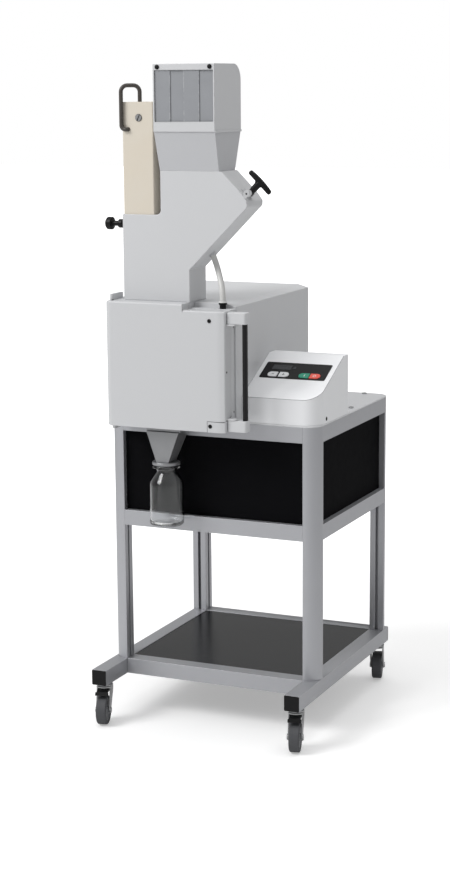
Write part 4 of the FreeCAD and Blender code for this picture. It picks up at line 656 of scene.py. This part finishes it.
def make_mill():
    """Casings, door and lever; a width is how far an edge is softened, in metres."""
    refine("chamber_housing", "coat", 0.0016, segments=3, flat=0, only=outside_shaft)
    refine("motor_cover", "coat", 0.0016, segments=3, flat=0, only=outside_vents)
    refine("chute", "coat", 0.0016, segments=3, flat=0, only=outside_shaft)
    # The hopper funnel's darker coat is painted shade.
    refine("hopper_funnel", "coat_shade", 0.0007)
    refine("hood", "coat", 0.0010)
    refine("door_shell", "coat_door", 0.0014, segments=3, flat=0)
    refine("hinge_straps", "coat", 0.0012, flat=0)
    refine("lever_brackets", "coat_door", 0.0008)
    refine("lever_arms", "coat", 0.0016, segments=3, flat=0)
    refine("lever_grip", "grip", 0.0012)
    refine("lever_strikers", "steel", 0.0006)
    refine("door_liner", "steel", 0.0006)
    refine("plunger", "ivory", 0.0005, angle=50)
    refine("t_handle_bracket", "light", 0.0006, angle=45)
    refine("outlet_funnel", "funnel", 0.0006, flat=0)
    refine("bottle_gasket", "seal", 0.0003, angle=45)


# Outlet
OUTLET_X = -104
OUTLET_Y = -45
COLLAR_Z = 687


def make_bottle():
    """A glass bottle whose top and height are those of its solid; heights count down from the top."""
    solid = from_cad("bottle")
    top = max(v.co.z for v in solid.verts)
    height = (top - min(v.co.z for v in solid.verts)) / MM
    solid.free()
    lathe("bottle_glass", Vector((P(OUTLET_X, OUTLET_Y, 0).x, P(OUTLET_X, OUTLET_Y, 0).y, top)), (0, 0, 1),
          [(0, 6.5 - height), (40.3, 4.5 - height, 9), (40.3, -45, 18), (22, -16, 8), (22, 0, 1), (35, 0, 2),
           (35, -8, 3), (25, -8.6, 1.5), (25, -16, 6), (43.5, -42, 20), (43.5, -height, 8),
           (30, -height, 1), (27, 1.5 - height, 2), (0, 2.5 - height)],
          "glass", "bottle", steps=72, round_steps=8)


def make_controls():
    refine("console_shell", "console", 0.0012, segments=3, only=outside_keypad)
    refine("keypad_panel", "keypad", 0.0003)
    refine("display", "display", 0.0002)
    refine("button_minus", "key_grey", 0.0005)
    refine("button_plus", "key_grey", 0.0005)
    refine("button_start", "key_green", 0.0005)
    refine("button_stop", "key_red", 0.0005)
    refine("power_inlet", "black", 0.0004, flat=0)


def make_inside():
    refine("rotor", "hard", 0.0004)
    refine("cutting_bars", "hard", 0.0004)
    refine("sieve", "steel", 0.0002)
    refine("drive_shaft", "steel", 0.0006)
    refine("bearing_housing", "motor", 0.0008)
    refine("motor", "motor", 0.0005)


make_mill()
make_bottle()
make_controls()
make_inside()


# Small parts
def rod_into(bm, origin, axis, r, h):
    turn_into(bm, origin, axis, [(0, 0), (r, 0), (r, h), (0, h)], 24)


def make_screws():
    """Bolts of the table, screws of hood, console and door; radius and height of a head come first."""
    bm = bmesh.new()
    table_z = 800
    shank = 14
    side_bolt = (268, 290.25)
    rear_bolt = (222, 517.5)
    for way in (-1, 1):
        for x, y in ((way * side_bolt[0], side_bolt[1]), (way * rear_bolt[0], rear_bolt[1])):
            screw_into(bm, P(x, y, table_z), (0, 0, 1), 6.5, 3.5, socket=3.0, depth=2.0, dome=0.8)
            rod_into(bm, P(x, y, table_z - shank), (0, 0, 1), 3.6, shank)
    settle("table_bolts", bm, "zinc", "fixing_screws", sharp=40)
    bm = bmesh.new()
    for x in (-94, 45):
        screw_into(bm, P(x, -86, 1669.5), (0, -1, 0), 5.8, 3.0, dome=2.6)
    screw_into(bm, P(286.5, 62, 811), (1, 0, 0), 5.0, 1.5, socket=3.2, depth=1.0, dome=0.3)
    settle("screw_heads", bm, "black", "fixing_screws", sharp=40)
    bm = bmesh.new()
    for z in (1063.0, 802.8):
        screw_into(bm, P(45, -102, z), (0, -1, 0), 5.0, 1.5, socket=2.2, depth=1.0, dome=0.6)
    settle("door_screw_heads", bm, "black", "door_screws", sharp=40)


make_screws()


def make_plunger_handle():
    """A bow that is bent from rod, over its end and down the plunger's front, and a slotted screw."""
    root_x = -166.5
    root_y = -36
    bow_x = -204.5
    bow_y = -63
    top = 1627
    foot = 1521
    corners = [(P(root_x, root_y, 1581), 0), (P(root_x, root_y, top), 16), (P(bow_x, bow_y, top), 16),
               (P(bow_x, bow_y, foot), 10), (P(-188.5, bow_y, foot), 5.2), (P(-188.5, -51.2, foot), 0)]
    bm = bmesh.new()
    sweep_into(bm, line_points(corners, 10), 5.0, 24)
    settle("bow_handle", bm, "handle", "plunger_handle")
    # The dark disc under the slotted head is painted shade in the slot and round the head.
    bm = bmesh.new()
    centre = P(-160, -57.2, 1549)
    turn_into(bm, centre, (0, -1, 0),
              [(0, -4), (4.5, -4), (4.5, 0), (9, 0, 0.2), (9, 1.2, 0.3), (0, 1.2)], 48)
    settle("screw_seat_painted_shade", bm, "seam", "plunger_handle", sharp=40)
    bm = bmesh.new()
    tilt = math.radians(65)
    head = 8.2
    start = math.asin(1.3 / 8)
    steps = 20

    def place(a, b, c):
        return centre + Vector((a * math.cos(tilt) - b * math.sin(tilt), -c,
                                a * math.sin(tilt) + b * math.cos(tilt))) * MM

    for side in (-1, 1):
        angles = [start + (math.pi - 2 * start) * k / steps for k in range(steps + 1)]
        line = [(head * math.cos(t), side * head * math.sin(t)) for t in angles]
        prism_into(bm, line, 1.4, 2.5, place, edge=0.35)
    settle("slotted_screw", bm, "zinc", "plunger_handle", sharp=40)


make_plunger_handle()


def make_index():
    """The index bush and its knob, on one axis that points left; y and z are the same for both."""
    lathe("index_bush_form", P(-207.6, -12, 1287), (-1, 0, 0),
          [(3.75, 0), (9, 0), (9, 21, 1.0), (11, 24, 1.0), (11, 34, 1.4), (3.75, 34, 0.4)],
          "black", "index_bush", closed=True)
    lathe("index_knob_form", P(-241.9, -12, 1287), (-1, 0, 0),
          [(0, -36.6), (3.6, -36.6, 0.4), (3.6, 0), (6.5, 0, 0.5), (6.5, 13, 1.2), (9, 15.2, 1.2),
           (16, 18.5, 2), (16, 30.5, 3), (11.5, 34.7, 4), (0, 34.7)],
          "black", "index_knob", steps=64, round_steps=6)


def make_collar():
    """The flanged ring between the outlet funnel and the bottle."""
    lathe("collar_ring", P(OUTLET_X, OUTLET_Y, COLLAR_Z), (0, 0, 1),
          [(15, -6), (21.7, -6, 1.2), (21.7, 0, 0.4), (35.5, 0, 1.6), (35.5, 7.5, 2.2), (24, 7.5, 1.0),
           (22, 6.3, 1.0), (15, 6.3)],
          "funnel", "bottle_collar", steps=64, closed=True)


make_collar()
make_index()


def make_t_handle():
    """A stem and a rounded bar on the tilting pin: along the bar, across it and out of the chute."""
    pivot = Vector((0.125314, -0.23655, 1.369707))
    along = Vector((1, 0, -1)).normalized()
    out = Vector((1, 0, 1)).normalized()
    side = Vector((0, 1, 0))

    def at(a, y, n):
        return pivot + (along * a + side * y + out * n) * MM

    bm = bmesh.new()
    turn_into(bm, at(0, -7.5, 0), (0, 1, 0), [(3.05, 0, 0.3), (7, 0, 0.8), (7, 15, 0.8), (3.05, 15, 0.3)], 48,
              closed=True)
    neck = [at(0, 0, n) for n in (3.4, 8, 14, 20, 26, 32, 37)]
    sweep_into(bm, neck, [7.3, 7.4, 7.4, 7.4, 7.5, 7.6, 7.0], 32)
    reach = 33
    rise = 35.6
    thin = 6.2
    bulge = 1.2
    end_length = 4.6
    steps = 36
    end_steps = 6
    line = []
    radii = []
    for k in range(steps + 1):
        a = -reach + 2 * reach * k / steps
        swell = bulge * (1 - (a / reach) ** 2)
        line.append(at(a, 0, rise + swell))
        radii.append(thin + swell)
    for k in range(1, end_steps + 1):
        turn = k / end_steps * math.pi / 2 * 0.985
        radius = thin * math.cos(turn) ** 0.7
        line.insert(0, at(-(reach + end_length * math.sin(turn)), 0, rise))
        line.append(at(reach + end_length * math.sin(turn), 0, rise))
        radii.insert(0, radius)
        radii.append(radius)
    sweep_into(bm, line, radii, 28)
    web = [(-7.8, 10), (7.8, 10), (8.2, 29.5, 8), (20, 32.5), (0, 36), (-20, 32.5), (-8.2, 29.5, 8)]
    prism_into(bm, web, -5.4, 5.4, lambda a, b, c: at(a, c, b), edge=3.2, segments=4, steps=10)
    settle("t_handle_form", bm, "black", "t_handle")


make_t_handle()


def make_glands():
    """The sockets at the hose's two ends."""
    lean = Vector((0.51, -0.18, -1)).normalized()
    root = Vector((0.01, -0.20855, 1.2176))
    lathe("upper_socket", root, lean, [(0, -3), (8.6, -3), (8.6, 5.4, 0.8), (7.8, 7, 0.5), (0, 7)],
          "light", "hose_glands")
    foot = P(57, -46.3, 1087.5)
    lathe("gland_body", foot, (0, 0, 1),
          [(0, 0), (8.2, 0, 0.4), (7.7, 5, 2), (7.9, 9.6, 0.4), (10.0, 10.2, 0.5), (10.2, 14.4, 0.5),
           (9.2, 14.7), (0, 14.7)],
          "black", "hose_glands")
    lathe("gland_rim", foot, (0, 0, 1),
          [(7.7, 14.9), (9.7, 14.9, 0.5), (10.0, 16.5, 0.8), (9.4, 18.5, 0.8), (7.7, 18.5, 0.3)],
          "white", "hose_glands", closed=True)


make_glands()


def sheet_into(bm, verts, layer, flip):
    """One side of a strip; its sides and its foot are marked for the painted highlight along the strips'
    edges.
    """
    cols = len(verts) - 1
    for i in range(cols):
        for j in range(len(verts[0]) - 1):
            q = (verts[i][j], verts[i + 1][j], verts[i + 1][j + 1], verts[i][j + 1])
            f = bm.faces.new(q if not flip else q[::-1])
            f[layer] = 1.0 if i in (0, cols - 1) or j == 0 else 0.0


def make_strips():
    """Four soft strips that overlap and sway a little more towards their free ends."""
    bm = bmesh.new()
    wide = 41.6
    tall = 140
    pitch = 38.6
    left = -103.2
    front = -83.5
    layer_gap = 2.15
    foot = 1534
    thick = 1.5
    cols = 22
    rows = 30
    layer = bm.faces.layers.float.get("edge") or bm.faces.layers.float.new("edge")
    rim = ([(i, 0) for i in range(cols)] + [(cols, j) for j in range(rows)]
           + [(i, rows) for i in range(cols, 0, -1)] + [(0, j) for j in range(rows, 0, -1)])
    for k in range(4):
        xa = left + k * pitch
        ya = front + (k % 2) * layer_gap
        grid = []
        for i in range(cols + 1):
            u = i / cols
            column = []
            for j in range(rows + 1):
                v = j / rows
                sway = (1 - v) ** 2 * (0.3 * math.sin(2.1 * k + 3.0 * u) + 0.15 * math.sin(9 * u + 4 * v + k))
                curl = 0.25 * (2 * u - 1) ** 2 * (1 - v)
                column.append((xa + wide * u, ya + 0.9 + 0.6 * sway + curl, foot + tall * v))
            grid.append(column)
        near = [[bm.verts.new(P(x, y, z)) for x, y, z in column] for column in grid]
        sheet_into(bm, near, layer, False)
        far = [[bm.verts.new(P(x, y + thick, z)) for x, y, z in column] for column in grid]
        sheet_into(bm, far, layer, True)
        # The rims are marked too, for the strips' painted highlight.
        for (i, j), (i2, j2) in zip(rim, rim[1:] + rim[:1]):
            f = bm.faces.new((near[i][j], far[i][j], far[i2][j2], near[i2][j2]))
            f[layer] = 1.0
    bmesh.ops.recalc_face_normals(bm, faces=bm.faces)
    settle("strip_curtain", bm, "strips", "curtain_strips")


make_strips()

# Console
SLOPE_FROM_Y = 1
SLOPE_FROM_Z = 864
SLOPE_TO_Y = 181
SLOPE_TO_Z = 952
RISE = math.atan2(SLOPE_TO_Z - SLOPE_FROM_Z, SLOPE_TO_Y - SLOPE_FROM_Y)
KEY_TOP = 2.5
KEY_ROW = 102.25
MINUS_X = 131.6
PLUS_X = 159.4
START_X = 216.5
STOP_X = 243.5
SUNK = 0.05
PROUD = 0.1


def slope(x, s, n):
    """A point on the console's sloped face: along X, up the slope, and out of it."""
    return P(x, SLOPE_FROM_Y + s * math.cos(RISE) - n * math.sin(RISE),
             SLOPE_FROM_Z + s * math.sin(RISE) + n * math.cos(RISE))


def make_marks():
    """Plain printed signs on the keys, and the display's window."""
    def bar(name, node, mat, cx, w, h):
        outline = rect(cx - w / 2, cx + w / 2, KEY_ROW - h / 2, KEY_ROW + h / 2, 0.4)
        prism(name, outline, KEY_TOP - SUNK, KEY_TOP + PROUD, slope, mat, node, edge=0)

    bar("minus_mark", "button_minus", "mark", MINUS_X, 7.0, 1.6)
    bar("plus_mark", "button_plus", "mark", PLUS_X, 7.0, 1.6)
    bar("plus_mark_up", "button_plus", "mark", PLUS_X, 1.6, 7.0)
    bar("start_mark", "button_start", "white", START_X, 1.8, 8.0)
    out = Vector((0, -math.sin(RISE), math.cos(RISE)))
    lathe("stop_mark", slope(STOP_X, KEY_ROW, KEY_TOP - SUNK), out,
          [(3.1, 0), (4.3, 0), (4.3, 0.15), (3.1, 0.15)], "white", "button_stop", closed=True)
    prism("display_window", rect(122.2, 168.4, 125.8, 141.7, 1.0), 1.75, 1.9, slope, "display", "display",
          edge=0)


def make_console_seam():
    """The line along the slope's front edge, round its corner and up its right side."""
    radius = 44
    centre_x = 244
    centre_y = 45
    steps = 12
    line = [P(85.4, SLOPE_FROM_Y, SLOPE_FROM_Z)]
    for k in range(steps + 1):
        a = -math.pi / 2 + math.pi / 2 * k / steps
        y = centre_y + radius * math.sin(a)
        line.append(P(centre_x + radius * math.cos(a), y, SLOPE_FROM_Z + (y - SLOPE_FROM_Y) * math.tan(RISE)))
    line.append(P(centre_x + radius, SLOPE_TO_Y, SLOPE_TO_Z))
    bm = bmesh.new()
    sweep_into(bm, line, 0.36, 8)
    settle("console_seam", bm, "seam", "console_shell")


make_marks()
make_console_seam()


def make_dots():
    """Small screws in the housing's recess and a plug in the door's side; all point to the right."""
    for name, x, y, z, node in (("recess_screw_high", 81, -40, 1042.4, "chamber_housing"),
                                ("recess_screw_low", 81, -40, 831.5, "chamber_housing"),
                                ("door_side_plug", 85, -89.8, 937.4, "door_shell")):
        bm = bmesh.new()
        screw_into(bm, P(x - 0.2, y, z), (1, 0, 0), 2.6, 0.9, socket=1.2, depth=0.6, dome=0.4, steps=36)
        settle(name, bm, "black", node, sharp=40)


def make_corner_seam():
    """The line round the block at the door's lower right corner."""
    bm = bmesh.new()
    sweep_into(bm, [P(37.1, -101.95, 787.6), P(37.1, -101.95, 814.3), P(69, -101.95, 814.3),
                    P(76, -101.2, 814.4), P(83, -99.2, 814.9), P(84.9, -95, 816.2), P(84.95, -61.6, 825.2)],
               0.42, 8)
    settle("corner_seam", bm, "seam", "door_shell")


def make_hood_lip():
    prism("hood_lip", rect(-85.5, 71.5, 1513.5, 1519.0, 0.6), 57.0, 58.6, lambda a, b, c: P(c, a, b), "coat",
          "hood", edge=0.4)


def make_bracket_front():
    """The T-handle bracket's front ear, and the head of the pin in it."""
    front = -60.0
    ear = [(118.5, 1362.0), (124.0, 1356.5), (136.0, 1366.0, 7.5), (134.5, 1378.5, 8.0), (120.0, 1377.5, 8.0)]
    prism("bracket_front_ear", ear, front, -57.2, lambda a, b, c: P(a, c, b), "light", "t_handle_bracket",
          edge=0.7)
    bm = bmesh.new()
    screw_into(bm, P(127.3, front, 1369), (0, -1, 0), 2.2, 0.9, dome=0.7, steps=32)
    settle("bracket_pin_head", bm, "black", "t_handle_bracket")


make_corner_seam()
make_hood_lip()
make_bracket_front()
make_dots()


# Floor and light
FLOOR_SIZE = 60
FLOOR_DROP = 0.0005
GLOW_FROM = 0.7
GLOW_TO = 3.2
GLOW_NEAR = 0.34
GLOW_FAR = 1.1
WORLD_LIGHT = 0.45
WORLD_SEEN = 1.0


def make_floor():
    """A pale plain floor; the camera alone sees it fade to white with the distance from the object."""
    bpy.ops.mesh.primitive_plane_add(size=FLOOR_SIZE, location=(0, 0, -FLOOR_DROP))
    floor = bpy.context.object
    floor.name = "floor"
    m = bpy.data.materials.new("floor")
    m.use_nodes = True
    nt = m.node_tree
    bsdf = nt.nodes["Principled BSDF"]
    bsdf.inputs["Base Color"].default_value = (0.86, 0.86, 0.86, 1)
    bsdf.inputs["Roughness"].default_value = 0.5
    bsdf.inputs["Specular IOR Level"].default_value = 0.2
    glow = nt.nodes.new("ShaderNodeEmission")
    tc = nt.nodes.new("ShaderNodeTexCoord")
    far = nt.nodes.new("ShaderNodeVectorMath")
    far.operation = "LENGTH"
    nt.links.new(tc.outputs["Object"], far.inputs[0])
    grow = nt.nodes.new("ShaderNodeMapRange")
    grow.interpolation_type = "SMOOTHSTEP"
    grow.inputs["From Min"].default_value = GLOW_FROM
    grow.inputs["From Max"].default_value = GLOW_TO
    grow.inputs["To Min"].default_value = GLOW_NEAR
    grow.inputs["To Max"].default_value = GLOW_FAR
    nt.links.new(far.outputs["Value"], grow.inputs["Value"])
    nt.links.new(grow.outputs["Result"], glow.inputs["Strength"])
    add = nt.nodes.new("ShaderNodeAddShader")
    mix = nt.nodes.new("ShaderNodeMixShader")
    path = nt.nodes.new("ShaderNodeLightPath")
    nt.links.new(bsdf.outputs[0], add.inputs[0])
    nt.links.new(glow.outputs[0], add.inputs[1])
    nt.links.new(path.outputs["Is Camera Ray"], mix.inputs[0])
    nt.links.new(bsdf.outputs[0], mix.inputs[1])
    nt.links.new(add.outputs[0], mix.inputs[2])
    nt.links.new(mix.outputs[0], nt.nodes["Material Output"].inputs["Surface"])
    floor.data.materials.append(m)


def make_world():
    """White to the camera and dimmer as a light."""
    world = bpy.data.worlds.new("studio")
    scene.world = world
    world.use_nodes = True
    wt = world.node_tree
    back = wt.nodes["Background"]
    back.inputs["Color"].default_value = (1, 1, 1, 1)
    path = wt.nodes.new("ShaderNodeLightPath")
    level = wt.nodes.new("ShaderNodeMapRange")
    level.inputs["To Min"].default_value = WORLD_LIGHT
    level.inputs["To Max"].default_value = WORLD_SEEN
    wt.links.new(path.outputs["Is Camera Ray"], level.inputs["Value"])
    wt.links.new(level.outputs["Result"], back.inputs["Strength"])


def make_lamp(name, place, target, size, watts):
    data = bpy.data.lights.new(name, "AREA")
    data.shape = "RECTANGLE"
    data.size = size[0]
    data.size_y = size[1]
    data.energy = watts
    ob = bpy.data.objects.new(name, data)
    scene.collection.objects.link(ob)
    aim = (Vector(target) - Vector(place)).to_track_quat("-Z", "Y")
    ob.rotation_euler = aim.to_euler()
    ob.location = place


make_floor()
make_world()
make_lamp("key", (-3.0, -3.6, 4.6), (0, 0, 0.8), (2.6, 2.6), 215)
make_lamp("side", (3.6, -0.6, 2.4), (0, 0, 0.9), (2.0, 2.6), 5)
make_lamp("top", (0.2, 0.6, 4.6), (0, 0, 0.8), (3.0, 3.0), 60)
scene.view_settings.view_transform = "Standard"
